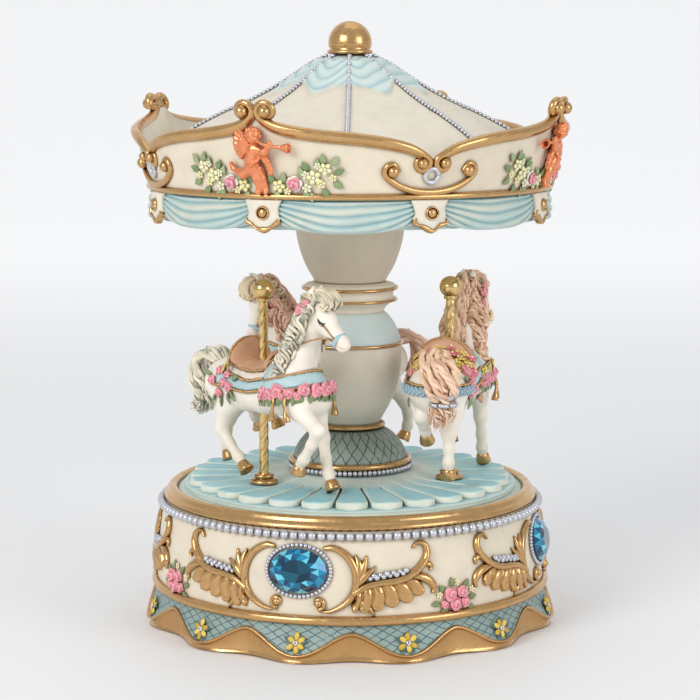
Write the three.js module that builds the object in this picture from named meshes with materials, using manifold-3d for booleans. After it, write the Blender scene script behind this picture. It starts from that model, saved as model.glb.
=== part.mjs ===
// Carousel music box: a painted resin drum with a clockwork musical movement inside, and above it a turntable of
// petals that carries three horses on twisted brass poles, an urn-shaped column and a tent canopy.
// Millimetres, +Z up, -Y to the front. The origin is on the table, at the centre of the base.
// An azimuth is measured from the front (-Y) towards +X, so a point at azimuth a is (r sin a, -r cos a).
import * as THREE from "three";
import { mergeVertices } from "three/addons/utils/BufferGeometryUtils.js";
import Module from "manifold-3d";

const wasm = await Module();
wasm.setup();

// ---- driving dimensions ---------------------------------------------------------------------------------------
const DEG = Math.PI / 180;
const GAP = 0.3; // between pieces that touch

const SKIRT = { top: 13, inner: 63.6, hem: 71.4, lobes: 12, lobeDepth: 3.4, lobeAzimuth: -14.5 };
const DRUM = { bottom: 13.1, innerRadius: 58, ledge: 16.2, deckTop: 42, deckUnder: 38.5, rimTop: 49, well: 62.4 };
const PEARLS = { radius: 68.4, z: 42.9, bead: 1.35 };
const JEWEL = { count: 4, azimuth: -14.5, z: 31, halfWidth: 10, halfHeight: 7.5, depth: 3.4, seat: 69.5, tilt: 8.5 };
const BOARD = { radius: 63.2, under: 13.2, top: 15.9, keyHole: 5.2, screwCircle: 60.7, screws: 3 };

const TURNTABLE = { under: 47, disc: 49.6, top: 52.2, radius: 60, petals: 28, petalTip: 57, centre: 54.3 };
const COLUMN = { bore: 2, rod: 1.6, dome: 54.4, vase: 69.2, collar: 111.2, bowl: 122.1, ceiling: 150.2 };
const CANOPY = { corners: 4, cornerAzimuth: -23.5, shell: 68.6, ring: 157, ringRadius: 71.7, flare: 0.235 };
const FINIAL = { bottom: 203.2, top: 215, ball: 7.9 };

const HORSES = 3;
const POLE = { circle: 38.5, azimuth: -52.3, radius: 1.7, top: 118, ball: 4, ballZ: 121, foot: 4.8, footTop: 56 };
// The first horse's heading in degrees from +X; the others follow at a third of a turn. A head turns to its left.
const HORSE = { heading: -47, headTurns: [8, -24, 30], poll: 25, pollHeights: [66, 66, 62.5], headLength: 13.5, headDrop: 12 };
const CHERUB = { radius: 77.2, z: 168.5, lean: 16 };

const SPINDLE = 2; // radius of the drive spindle
const CYLINDER = { axisZ: 28, radius: 7, from: 17, to: 43, pinionTeeth: 16, gearTeeth: 32, module: 0.5 };
const CROWN = { teeth: 32, radius: 13, from: 12, to: 14, root: 20.8, tip: 22 };
const GOVERNOR = { teeth: 8, wheelTeeth: 20, wheelRadius: 5.2, axisY: 10, flyX: 46.2, worm: 1.35 };

const root = new THREE.Group();

// ---- tools ----------------------------------------------------------------------------------------------------

// The geometry with its faces turned outwards, whichever way its outline ran.
function outward(geometry) {
  const merged = geometry.clone();
  for (const name of ["normal", "uv"]) merged.deleteAttribute(name);
  const made = mergeVertices(merged, 1e-4);
  const p = made.attributes.position;
  const index = made.index.array;
  const [a, b, c] = [new THREE.Vector3(), new THREE.Vector3(), new THREE.Vector3()];
  let volume = 0;
  for (let i = 0; i < index.length; i += 3) {
    a.fromBufferAttribute(p, index[i]);
    b.fromBufferAttribute(p, index[i + 1]);
    c.fromBufferAttribute(p, index[i + 2]);
    volume += a.dot(b.cross(c));
  }
  if (volume < 0)
    for (let i = 0; i < index.length; i += 3) [index[i + 1], index[i + 2]] = [index[i + 2], index[i + 1]];
  return made;
}

function solid(geometry) {
  const g = outward(geometry);
  return new wasm.Manifold(
    new wasm.Mesh({
      numProp: 3,
      vertProperties: new Float32Array(g.attributes.position.array),
      triVerts: new Uint32Array(g.index.array),
    }),
  );
}

function geometryOf(made) {
  const mesh = made.getMesh();
  const points = new Float32Array(mesh.numVert * 3);
  for (let i = 0; i < mesh.numVert; i++)
    points.set(mesh.vertProperties.subarray(i * mesh.numProp, i * mesh.numProp + 3), i * 3);
  return new THREE.BufferGeometry()
    .setAttribute("position", new THREE.BufferAttribute(points, 3))
    .setIndex(new THREE.BufferAttribute(mesh.triVerts, 1));
}

const join = (...geometries) => geometryOf(geometries.map(solid).reduce((a, b) => a.add(b)));
const cut = (from, ...geometries) =>
  geometryOf(geometries.map(solid).reduce((a, b) => a.subtract(b), solid(from)));

// A turned piece about Z. The outline is [radius, height] points that start and end on the axis, or close.
function turned(outline, segments) {
  const points = outline.map(([r, z]) => new THREE.Vector2(r, z));
  if (outline[0][0] > 0) points.push(points[0].clone());
  return outward(new THREE.LatheGeometry(points, segments).rotateX(Math.PI / 2));
}

const ring = (radius, tube, z, segments, sides) =>
  outward(new THREE.TorusGeometry(radius, tube, sides, segments).translate(0, 0, z));

const rod = (radius, from, to, segments = 12) => turned([[0, from], [radius, from], [radius, to], [0, to]], segments);

const block = (x0, x1, y0, y1, z0, z1) =>
  new THREE.BoxGeometry(x1 - x0, y1 - y0, z1 - z0).translate((x0 + x1) / 2, (y0 + y1) / 2, (z0 + z1) / 2);

// Turns a piece that was made along Z so that it lies along +X, at the height and side of a horizontal arbor.
const alongX = (geometry, y, z) => geometry.rotateZ(Math.PI / 2).rotateY(Math.PI / 2).translate(0, y, z);

function extruded(shape, from, to) {
  const made = new THREE.ExtrudeGeometry(shape, { depth: to - from, bevelEnabled: false, curveSegments: 6 });
  return outward(made.translate(0, 0, from));
}

const outlineShape = (points) => new THREE.Shape(points.map(([x, y]) => new THREE.Vector2(x, y)));

// A spur gear's outline: straight-sided teeth, the first one centred on angle 0.
function gearShape(teeth, tipRadius, rootRadius, tipWidth, baseWidth) {
  const points = [];
  for (let i = 0; i < teeth; i++) {
    const middle = (i / teeth) * 2 * Math.PI;
    for (const [radius, half] of [
      [rootRadius, -baseWidth / 2],
      [tipRadius, -tipWidth / 2],
      [tipRadius, tipWidth / 2],
      [rootRadius, baseWidth / 2],
    ]) {
      const angle = middle + half / radius;
      points.push([radius * Math.cos(angle), radius * Math.sin(angle)]);
    }
  }
  return outlineShape(points);
}

// A limb: a cone with a blunt point past each end.
function limb(from, to, fromRadius, toRadius, sides) {
  const a = new THREE.Vector3(...from);
  const b = new THREE.Vector3(...to);
  const length = a.distanceTo(b);
  const shoulder = 0.25; // how far past its end a limb keeps its width, as a share of its radius
  const profile = [
    [0, -0.9 * fromRadius],
    [fromRadius, -shoulder * fromRadius],
    [toRadius, length + shoulder * toRadius],
    [0, length + 0.9 * toRadius],
  ].map(([r, h]) => new THREE.Vector2(r, h));
  const turn = new THREE.Quaternion().setFromUnitVectors(new THREE.Vector3(0, 1, 0), b.clone().sub(a).normalize());
  return new THREE.LatheGeometry(profile, sides).applyQuaternion(turn).translate(a.x, a.y, a.z);
}

// A chain of limbs through [x, y, z, radius] points.
const chain = (points, sides) =>
  points.slice(1).map((p, i) => limb(points[i].slice(0, 3), p.slice(0, 3), points[i][3], p[3], sides));

const MATERIALS = {
  cream: { color: 0xe6ddca, roughness: 0.55 },
  blue: { color: 0xa9cfd2, roughness: 0.55 },
  green: { color: 0x9fae9f, roughness: 0.6 },
  gold: { color: 0xb9833c, roughness: 0.35, metalness: 0.9 },
  brass: { color: 0xcba35a, roughness: 0.2, metalness: 1 },
  steel: { color: 0xb4b6b8, roughness: 0.3, metalness: 1 },
  zinc: { color: 0x9a9c9e, roughness: 0.5, metalness: 0.8 },
  pearl: { color: 0xdadade, roughness: 0.25 },
  jewel: { color: 0x1d86b5, roughness: 0.05 },
  copper: { color: 0xc4683c, roughness: 0.35, metalness: 0.7 },
  board: { color: 0xb98f63, roughness: 0.8 },
  horse: { color: 0xefe6d6, roughness: 0.5 },
};

function add(name, geometry, material, parent = root) {
  const mesh = new THREE.Mesh(geometry, new THREE.MeshStandardMaterial(MATERIALS[material]));
  mesh.name = name;
  parent.add(mesh);
  return mesh;
}

// Moves the vertices of a turned piece: change(radius, azimuth, z) gives the new [radius, z].
function reshaped(geometry, change) {
  const p = geometry.attributes.position;
  for (let i = 0; i < p.count; i++) {
    const [x, y, z] = [p.getX(i), p.getY(i), p.getZ(i)];
    const azimuth = Math.atan2(x, -y);
    const [radius, height] = change(Math.hypot(x, y), azimuth, z);
    p.setXYZ(i, radius * Math.sin(azimuth), -radius * Math.cos(azimuth), height);
  }
  return geometry;
}

// Holds its children on a wall: local Z points outwards, local Y up and local X along the wall.
function onWall(azimuthDegrees, radius, z) {
  const group = new THREE.Group();
  const a = azimuthDegrees * DEG;
  group.position.set(radius * Math.sin(a), -radius * Math.cos(a), z);
  group.rotation.set(Math.PI / 2, 0, 0);
  group.rotation.order = "ZXY";
  group.rotation.z = a;
  root.add(group);
  return group;
}

// ---- base: skirt, drum, pearls and jewels ---------------------------------------------------------------------

function skirt() {
  const outline = [[SKIRT.inner, 0], [SKIRT.hem, 0], [SKIRT.hem + 0.9, 3.5], [70.4, SKIRT.top], [SKIRT.inner, SKIRT.top]];
  const wavy = reshaped(turned(outline, SKIRT.lobes * 5), (radius, azimuth, z) => {
    const fade = Math.max(0, 1 - z / SKIRT.top);
    const wave = Math.cos(SKIRT.lobes * (azimuth - SKIRT.lobeAzimuth * DEG));
    return [radius > SKIRT.inner + 1 ? radius + SKIRT.lobeDepth * fade * wave : radius, z];
  });
  add("skirt_plinth", wavy, "blue");
}

// One hole or screw at each place of the bottom board.
const boardPlaces = Array.from({ length: BOARD.screws }, (_, i) => {
  const a = ((i + 0.5) / BOARD.screws) * 2 * Math.PI;
  return [BOARD.screwCircle * Math.sin(a), -BOARD.screwCircle * Math.cos(a)];
});

function drum() {
  const wall = [[SKIRT.inner, DRUM.bottom], [71.2, DRUM.bottom], [72.6, 14], [72.4, 15.3], [70.6, 16.6], [69.6, 29]];
  const rim = [[67.4, 40.5], [66.4, 44.6], [66.6, 47.4], [65.4, DRUM.rimTop], [63.6, DRUM.rimTop], [DRUM.well, 47.6]];
  const inside = [
    [DRUM.well, DRUM.deckTop],
    [3.7, DRUM.deckTop],
    [3.7, DRUM.deckUnder],
    [DRUM.innerRadius, DRUM.deckUnder],
    [DRUM.innerRadius, DRUM.ledge],
    [SKIRT.inner, DRUM.ledge],
  ];
  const holes = boardPlaces.map(([x, y]) => rod(1.7, DRUM.ledge - 1, 27, 6).translate(x, y, 0));
  add("drum_casing", cut(turned([...wall, ...rim, ...inside], 32), ...holes), "cream");
  add("rim_pearl_string", ring(PEARLS.radius, PEARLS.bead, PEARLS.z, 36, 5), "pearl");
}

function jewels() {
  const stone = [[0, 0], [1, 0], [1, 0.3], [0.66, 1], [0, 1]].map(([r, z]) => [r, z * JEWEL.depth]);
  const bezel = [[1.03, -0.05], [1.16, -0.05], [1.16, 0.28], [1.03, 0.28]].map(([r, z]) => [r, z * JEWEL.depth]);
  for (let i = 0; i < JEWEL.count; i++) {
    const wall = onWall(JEWEL.azimuth + (360 / JEWEL.count) * i, JEWEL.seat, JEWEL.z);
    const oval = (outline) =>
      turned(outline, 12).scale(JEWEL.halfWidth, JEWEL.halfHeight, 1).rotateX(-JEWEL.tilt * DEG);
    add(`jewel_${i + 1}`, oval(stone), "jewel", wall);
    add(`jewel_bezel_${i + 1}`, oval(bezel), "pearl", wall);
  }
}

function bottomBoard() {
  const holes = boardPlaces.map(([x, y]) => rod(1.7, BOARD.under - 1, BOARD.top + 1, 6).translate(x, y, 0));
  const { keyHole, radius, under, top } = BOARD;
  const plate = turned([[keyHole, under], [radius, under], [radius, top], [keyHole, top]], 32);
  add("bottom_board", cut(plate, ...holes), "board");
  const screw = [[0, 11.6], [2.6, 11.6], [2.2, BOARD.under - 0.1], [1.3, BOARD.under - 0.1], [1.3, 26], [0, 26.6]];
  boardPlaces.forEach(([x, y], i) => add(`board_screw_${i + 1}`, turned(screw, 8).translate(x, y, 0), "steel"));
}

// ---- musical movement -----------------------------------------------------------------------------------------

function bedplate() {
  const top = 19;
  const cylinderBearing = { width: 2.4, top: 31 };
  const governorBearing = { width: 1.6, top: 30.4 };
  const bearing = (x0, x1, y, { width, top: height }) => block(x0, x1, y - width, y + width, top - 1, height);
  const plate = join(
    block(-17, 50.5, -27, 23.4, 16.1, top),
    bearing(14.7, 16.2, 0, cylinderBearing),
    bearing(46, 47.3, 0, cylinderBearing),
    bearing(41.2, 42.2, GOVERNOR.axisY, governorBearing),
    bearing(47.9, 49.2, GOVERNOR.axisY, governorBearing),
    block(17, 43, -26, -15, top - 1, 26.9),
  );
  const bore = (radius, y) => alongX(rod(radius, 10, 52, 8), y, CYLINDER.axisZ);
  const combHoles = combScrews.map(([x, y]) => rod(1.3, 22, 28, 6).translate(x, y, 0));
  const bores = [rod(2.7, 15, 20, 10), bore(1.3, 0), bore(1.1, GOVERNOR.axisY)];
  add("movement_bedplate", cut(plate, ...bores, ...combHoles), "zinc");
}

const combScrews = [[23, -21.5], [37, -21.5]];

function comb() {
  const notes = 18;
  const heel = { back: -26, root: -15, tip: -7.7 };
  const pitch = (CYLINDER.to - CYLINDER.from) / notes;
  const points = [[CYLINDER.to, heel.back], [CYLINDER.from, heel.back]];
  for (let i = 0; i < notes; i++) {
    const left = CYLINDER.from + pitch * i;
    const right = left + pitch * 0.72;
    points.push([left, heel.root], [left, heel.tip], [right, heel.tip], [right, heel.root]);
  }
  points.push([CYLINDER.to, heel.root]);
  const holes = combScrews.map(([x, y]) => rod(1.3, 26, 30, 6).translate(x, y, 0));
  add("tuned_comb", cut(extruded(outlineShape(points), 27.2, 28.6), ...holes), "steel");
  const screw = [[0, 23], [1, 23], [1, 28.7], [2.2, 28.7], [2, 30], [0, 30]];
  combScrews.forEach(([x, y], i) => add(`comb_screw_${i + 1}`, turned(screw, 8).translate(x, y, 0), "steel"));
}

// The spring barrel turns with the carousel. Crown teeth on its flange drive the cylinder.
function barrel() {
  const flange = [[2.6, 19.6], [14.3, 19.6], [14.3, CROWN.root], [11, CROWN.root]];
  const can = [[11, 33], [2.3, 33], [2.3, 31.8], [10, 31.8], [10, 21], [2.6, 21]];
  const cup = turned([...flange, ...can], 24);
  const foot = CROWN.root - 0.3;
  const side = outlineShape([[-0.45, foot], [0.45, foot], [0.2, CROWN.tip], [-0.2, CROWN.tip]]);
  const halfPitch = 0.5; // a gap, not a tooth, faces the pinion's lowest tooth
  const teeth = [];
  for (let i = 0; i < CROWN.teeth; i++) {
    const tooth = new THREE.ExtrudeGeometry(side, { depth: CROWN.to - CROWN.from, bevelEnabled: false });
    const angle = ((i + halfPitch) / CROWN.teeth) * 2 * Math.PI + Math.PI / 2;
    teeth.push(tooth.rotateX(Math.PI / 2).translate(0, -CROWN.from, 0).rotateZ(angle));
  }
  add("spring_barrel", join(cup, ...teeth), "brass");

  const [turns, inner, outer, thickness] = [4, 3.2, 9.4, 0.5];
  const steps = 32;
  const spiral = (offset) =>
    Array.from({ length: steps + 1 }, (_, i) => {
      const angle = (i / steps) * turns * 2 * Math.PI;
      const radius = inner + ((outer - inner) * i) / steps + offset;
      return [radius * Math.cos(angle), radius * Math.sin(angle)];
    });
  add("mainspring", extruded(outlineShape([...spiral(0), ...spiral(thickness).reverse()]), 22, 31), "steel");
  add("drive_spindle", turned([[0, 31.3], [1.9, 31.3], [SPINDLE, 32], [SPINDLE, 45], [0, 45]], 12), "steel");
}

function windingKey() {
  const arbor = [[0, 5], [1.4, 5], [1.4, 13.4], [2.2, 13.8], [2.2, 19.2], [1.8, 19.6], [1.8, 30.8], [0, 30.8]];
  add("winding_arbor", turned(arbor, 10), "steel");
  const hub = turned([[0, 3.5], [3.2, 3.5], [3.4, 5], [3.4, 13], [0, 13]], 12);
  const wing = new THREE.Shape();
  wing.moveTo(2, 8.6);
  wing.bezierCurveTo(5, 9.6, 11, 10.6, 12, 6.8);
  wing.bezierCurveTo(12.6, 3.4, 8, 1.4, 2, 2.4);
  wing.lineTo(-2, 2.4);
  wing.bezierCurveTo(-8, 1.4, -12.6, 3.4, -12, 6.8);
  wing.bezierCurveTo(-11, 10.6, -5, 9.6, -2, 8.6);
  const wings = new THREE.ExtrudeGeometry(wing, { depth: 2, bevelEnabled: false, curveSegments: 5 });
  wings.translate(0, 0, -1).rotateX(Math.PI / 2);
  add("winding_key", cut(join(hub, wings), rod(1.4 + GAP, 4.6, 14, 10)), "brass");
}

function cylinder() {
  const { radius, from, to, axisZ, pinionTeeth, gearTeeth, module } = CYLINDER;
  const pitchRadius = (CROWN.radius * pinionTeeth) / CROWN.teeth;
  const pinion = extruded(gearShape(pinionTeeth, pitchRadius + 0.5, pitchRadius - 0.7, 0.42, 0.95), CROWN.from, CROWN.to);
  const halfTooth = Math.PI / gearTeeth; // a gap faces the governor's pinion
  const gear = extruded(gearShape(gearTeeth, radius + 1.35, radius + 0.5, 0.4, 0.72), 43.6, 45.2).rotateZ(halfTooth);
  const barrelPiece = rod(radius, from, to, 24);
  const arbor = rod(1, 11.4, 48.2, 8);
  const gearHub = rod(2, to - 1, 44, 8);
  add("pin_cylinder", alongX(join(arbor, barrelPiece, pinion, gear, gearHub), 0, axisZ), "brass");
  if (Math.abs((module * gearTeeth) / 2 - radius - 1) > 1e-9) throw new Error("the gear's pitch circle is off");
}

function governor() {
  const { teeth, wheelTeeth, wheelRadius, axisY, flyX, worm } = GOVERNOR;
  const pinion = extruded(gearShape(teeth, 2.35, 1.45, 0.36, 0.66), 43.4, 45.4);
  const wheel = extruded(gearShape(wheelTeeth, wheelRadius, wheelRadius - 0.7, 0.35, 0.6), 45.4, 46.8);
  add("governor_wheel", alongX(join(rod(0.8, 40.8, 49.6, 8), pinion, wheel), axisY, CYLINDER.axisZ), "steel");

  const flyY = axisY + wheelRadius + worm + GAP;
  const pitch = (2 * Math.PI * wheelRadius) / wheelTeeth;
  const threads = [];
  for (let z = 24.6; z < 31; z += pitch) threads.push([0.9, z], [worm, z + 0.5], [worm, z + 1.1]);
  const shaft = turned([[0, 20.5], [0.55, 20.5], [0.9, 24], ...threads, [0.6, 32.4], [0.6, 36.9], [0, 36.9]], 8);
  const blade = block(-4.4, 4.4, -0.25, 0.25, 33.8, 36.6);
  add("governor_fly", join(shaft, blade).translate(flyX, flyY, 0), "steel");

  const arm = (y0, y1, z0, z1) => block(44, 48.4, y0, y1, z0, z1);
  add("governor_bracket", join(arm(21.6, 23, 19.2, 38.1), arm(15, 21.8, 19.2, 20.2), arm(15, 21.8, 37.2, 38.1)), "zinc");
}

// ---- turntable and column -------------------------------------------------------------------------------------

function bearingAndHub() {
  const bore = SPINDLE + GAP;
  const bush = [[bore, 37.6], [3.4, 37.6], [3.4, 42.2], [6, 42.2], [6, 43.2], [bore, 43.2]];
  add("spindle_bush", turned(bush, 16), "brass");
  const hub = [[bore, 43.6], [4.6, 43.6], [4.6, 45], [11, 45], [11, 46.7], [bore, 46.7]];
  add("turntable_hub", turned(hub, 16), "brass");
}

function turntable() {
  const { under, disc, top, radius, petals, petalTip, centre } = TURNTABLE;
  const plate = turned(
    [[COLUMN.bore, under], [radius - 0.8, under], [radius, 48.4], [radius - 0.7, disc], [COLUMN.bore, disc]],
    32,
  );
  const cone = [[COLUMN.bore, disc - 0.5], [50, disc - 0.5], [32, top], [22, centre], [COLUMN.bore, centre]];
  const boss = turned(cone, petals / 2);
  const points = [];
  for (let i = 0; i < petals; i++)
    for (const [share, reach] of [[0.05, 50], [0.3, petalTip], [0.7, petalTip], [0.95, 50]]) {
      const a = ((i + share) / petals) * 2 * Math.PI;
      points.push([reach * Math.sin(a), -reach * Math.cos(a)]);
    }
  const petalPlate = cut(extruded(outlineShape(points), disc - 0.2, top), rod(COLUMN.bore, 40, 60, 10));
  add("turntable", join(plate, boss, petalPlate), "blue");
}

// A stacked casting of the column: an outer outline that rises, closed on the bore for the centre rod.
function columnPiece(name, outline, material, segments = 16) {
  const bottom = outline[0][1];
  const top = outline.at(-1)[1];
  add(name, turned([[COLUMN.bore, bottom], ...outline, [COLUMN.bore, top]], segments), material);
}

function column() {
  const { dome, vase, collar, bowl, ceiling } = COLUMN;
  add("centre_rod", rod(COLUMN.rod, 45.4, 206.6, 8), "steel");
  const quilted = [[20.6, dome], [20.9, 57.4], [20.2, 60], [18.4, 63.6], [15.1, 67.3], [12.4, vase - 0.1]];
  columnPiece("pedestal_dome", quilted, "green");
  add("pedestal_pearl_string", ring(22.1, 0.9, 55.7, 24, 5), "pearl");
  const belly = [[11.9, vase], [12.1, 70.5], [11.3, 71.8], [13.6, 75.8], [15.8, 80.2], [17.6, 86], [18.5, 92]];
  const shoulder = [[18.6, 98], [18.9, 100], [18.2, 101.6], [16.1, 107], [12.6, collar - 0.1]];
  columnPiece("vase_body", [...belly, ...shoulder], "cream");
  const rolls = [[12.6, collar], [16.5, 115.7], [15.8, 116.8], [15.8, 118.2], [16.8, 119.2], [16.6, 121], [13, bowl - 0.1]];
  columnPiece("vase_collar", rolls, "cream");
  const cup = [[12.8, bowl], [14, 124.4], [16.4, 128.7], [18.2, 133.6], [19.4, 139], [20.3, ceiling - 0.1]];
  columnPiece("upper_bowl", cup, "cream");
}

// ---- canopy ---------------------------------------------------------------------------------------------------

// How far round an azimuth is from the nearest corner, in degrees, from 0 to 45.
function fromCorner(azimuth) {
  const step = 360 / CANOPY.corners;
  const turn = (((azimuth / DEG - CANOPY.cornerAzimuth) % step) + step) % step;
  return Math.min(turn, step - turn);
}

// The height of the band's top edge: a peak at each corner, and a notch half way between two corners.
const bandTop = (away) => 171.5 + 8 * THREE.MathUtils.smoothstep(45 - away, 0, 14) + 4 * Math.exp(-((away / 6) ** 2));
const cornerBulge = (away) => 1.6 * Math.exp(-((away / 9) ** 2));

function canopy() {
  const { shell, ring: ringZ, ringRadius, flare } = CANOPY;
  const roof = [[shell, 168.4], [52.3, 178.2], [43.8, 182.4], [35.7, 186.2], [21.4, 194.6], [8.2, FINIAL.bottom - 0.1]];
  const inside = [[COLUMN.bore, 199.6], [20, 191.6], [52, 174.6], [65.8, 166.6], [65.8, 153], [COLUMN.bore, 153]];
  const under = [[COLUMN.bore, COLUMN.ceiling], [shell, COLUMN.ceiling]];
  const closed = [...under, ...roof, [COLUMN.bore, FINIAL.bottom - 0.1], ...inside];
  add("canopy_roof", turned(closed, 28), "cream");

  // the band is turned with a flat top at a height that nothing else has, then that top is shaped
  const flatTop = 200;
  const wall = 2.6;
  const inner = shell + GAP;
  const rail = [[inner, -1.4], [ringRadius + 0.6, -1.4], [ringRadius + 1.3, 0], [ringRadius + 0.5, 1.6]];
  const foot = rail.map(([radius, up]) => [radius, ringZ + up]);
  const band = turned([...foot, [74, flatTop], [71, flatTop], [inner, ringZ + 2.5]], 48);
  const flared = reshaped(band, (radius, azimuth, z) => {
    if (z < flatTop - 1) return [radius, z];
    const away = fromCorner(azimuth);
    const top = bandTop(away);
    const face = ringRadius + (top - ringZ) * flare + cornerBulge(away);
    return [radius > 72 ? face : face - wall, top];
  });
  add("canopy_band", flared, "cream");

  const [swags, hang] = [8, 144.8];
  const valance = turned([[shell + GAP, 146], [71, 146], [71.6, 150], [71.2, 155.3], [shell + GAP, 155.3]], 48);
  const scalloped = reshaped(valance, (radius, azimuth, z) => {
    const phase = Math.cos(swags * (azimuth - CANOPY.cornerAzimuth * DEG));
    if (z > 152) return [radius, z];
    return [radius > shell + 1 ? radius + 0.5 - 0.5 * phase : radius, z < 148 ? hang + 0.5 * (1 + phase) : z];
  });
  add("canopy_valance", scalloped, "blue");
}

function finial() {
  const { bottom, top, ball } = FINIAL;
  const centre = top - ball;
  const arc = [];
  for (let degrees = -20; degrees < 90; degrees += 22)
    arc.push([ball * Math.cos(degrees * DEG), centre + ball * Math.sin(degrees * DEG)]);
  const collar = [[0, centre], [COLUMN.bore, centre], [COLUMN.bore, bottom], [8.3, bottom], [8.3, bottom + 1.2]];
  const outline = [...collar, ...arc, [0, top]];
  add("finial", turned(outline, 16), "gold");
}

// ---- horses and their poles -----------------------------------------------------------------------------------

// A horse in its own frame: +X forward, +Y to its left, Z up from the turntable, with the pole on the Z axis.
// Each chain holds [x, y, z, radius] points.
const HORSE_BODY = {
  barrel: [[-17, 0, 35, 9.4], [0, 0, 35.3, 8.2], [16, 0, 36.2, 9.4]],
  neck: [[17, 0, 41, 7.6], [24, 0, 56, 5.4], [25, 0, 66, 4.6]],
  tail: [[-21, 0, 38, 3], [-32, 0, 45, 3.6], [-38, 0, 36, 4], [-38.5, 0, 19, 2.4]],
  saddle: [[-11, 0, 45.5, 4.2], [-2, 0, 41.5, 3.6], [9, 0, 45, 3.2]],
};

// The legs, as they are on the left side.
const LEGS = {
  bentFore: [[16, 5, 33, 5.2], [32, 5.5, 21.5, 2.9], [24, 5.5, 9.5, 2.6]],
  straightFore: [[17, 5, 33, 5.2], [23.4, 5, 21, 2.7], [29.5, 5, 3.6, 2.6]],
  highFore: [[17, 5, 33, 5.2], [35, 5.5, 25, 2.9], [31.4, 5.3, 14, 2.6]],
  foldedFore: [[16, 5, 33, 5.2], [28.6, 5.5, 22.4, 2.9], [22.8, 5.3, 12.8, 2.6]],
  forwardHind: [[-12, 5.5, 27, 6], [-16, 5.5, 17.5, 2.9], [-8, 5.5, 6.5, 2.6]],
  trailingHind: [[-19, 5.5, 27, 6], [-26, 5.5, 18, 2.8], [-26, 5.5, 6, 2.6]],
  raisedHind: [[-12, 5.5, 29, 6], [-18.4, 5.4, 25, 2.9], [-12.4, 5.4, 17.5, 2.6]],
  standingHind: [[-18, 5.5, 28, 6], [-21, 5.2, 20, 2.8], [-20.2, 4.9, 6.5, 2.6]],
};

// Each horse's legs, and the side each is on: 1 for its left and -1 for its right.
const GAITS = [
  [["bentFore", -1], ["straightFore", 1], ["forwardHind", -1], ["trailingHind", 1]],
  [["foldedFore", 1], ["straightFore", -1], ["raisedHind", 1], ["standingHind", -1]],
  [["highFore", 1], ["foldedFore", -1], ["forwardHind", -1], ["trailingHind", 1]],
];

// A head that hangs from the poll, turned towards the horse's left.
function headChain(turn, height) {
  const { poll, headLength, headDrop } = HORSE;
  return [[0, 4.6], [0.55, 4], [1, 2.8]].map(([share, radius]) => {
    const reach = share * headLength;
    return [poll + reach * Math.cos(turn), reach * Math.sin(turn), height - share * headDrop, radius];
  });
}

function horseLimbs(i) {
  const legs = GAITS[i].map(([name, side]) => LEGS[name].map(([x, y, z, radius]) => [x, side * y, z, radius]));
  const { barrel, ...rest } = HORSE_BODY;
  const slender = [...Object.values(rest), headChain(HORSE.headTurns[i] * DEG, HORSE.pollHeights[i]), ...legs];
  return [...chain(barrel, 8), ...slender.flatMap((points) => chain(points, 4))];
}

function horses() {
  const { top } = TURNTABLE;
  const { circle, azimuth: firstAzimuth, radius, foot, footTop } = POLE;
  for (let i = 0; i < HORSES; i++) {
    const turn = (360 / HORSES) * i;
    const azimuth = (firstAzimuth + turn) * DEG;
    const place = new THREE.Group();
    place.position.set(circle * Math.sin(azimuth), -circle * Math.cos(azimuth), 0);
    place.rotation.z = (HORSE.heading + turn) * DEG;
    root.add(place);
    const body = join(...horseLimbs(i)).translate(0, 0, top);
    add(`horse_${i + 1}`, cut(body, rod(radius + GAP, 60, 130, 8)), "horse", place);
    add(`pole_${i + 1}`, rod(radius, footTop + 0.1, POLE.top - GAP, 8), "brass", place);
    const ball = new THREE.SphereGeometry(POLE.ball, 10, 6).rotateX(Math.PI / 2).translate(0, 0, POLE.ballZ);
    add(`pole_ball_${i + 1}`, cut(ball, rod(radius + GAP, 110, POLE.top, 8)), "brass", place);
    const bun = [[0, top + 0.1], [foot, top + 0.1], [foot, 53.8], [3.4, 54.8], [3.2, footTop], [0, footTop]];
    add(`pole_foot_${i + 1}`, turned(bun, 12), "gold", place);
  }
}

// ---- cherubs on the canopy's corners --------------------------------------------------------------------------

// A flying cherub with a trumpet, in the wall's frame: [along, up, out, radius] points.
const CHERUB_CHAINS = {
  torso: [[-1.9, -2, 1.6, 2.6], [-0.8, 4, 2, 2.4]],
  head: [[-0.4, 6, 2.2, 2.4], [0, 9, 2.6, 2.8]],
  wing: [[-3, 4.6, 0.9, 2.4], [-7.4, 6, 0.6, 2.2]],
  trumpetArm: [[1, 4, 2, 1.8], [10, 4.6, 2.4, 1.6]],
  freeArm: [[0.4, 3, 2, 1.6], [4.4, -3, 2, 1.2]],
  bentLeg: [[-2.6, -2.4, 1.8, 2], [-9, -2.4, 1.8, 1.2]],
  standingLeg: [[-1, -2, 1.8, 2.2], [0.4, -9.4, 1.4, 1.4]],
};

// The cherubs at both ends of a face look towards each other, so every other one is mirrored.
function cherubs() {
  for (let i = 0; i < CANOPY.corners; i++) {
    const wall = onWall(CANOPY.cornerAzimuth + (360 / CANOPY.corners) * i, CHERUB.radius, CHERUB.z);
    const side = i % 2 ? -1 : 1;
    const limbs = Object.values(CHERUB_CHAINS).flatMap((points) =>
      chain(points.map(([along, ...rest]) => [side * along, ...rest]), 4),
    );
    add(`cherub_${i + 1}`, join(...limbs).rotateX(CHERUB.lean * DEG), "copper", wall);
  }
}

skirt();
drum();
jewels();
bottomBoard();
bedplate();
comb();
barrel();
windingKey();
cylinder();
governor();
bearingAndHub();
turntable();
column();
canopy();
finial();
horses();
cherubs();

export default root;
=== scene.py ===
"""The carousel music box's looks: painted resin, gilding, pearls, jewels and carved horses.

Lengths are in millimetres in the shape functions and become metres when a piece is made.
An azimuth is measured in degrees from the front (-Y) towards +X.
"""

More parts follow.
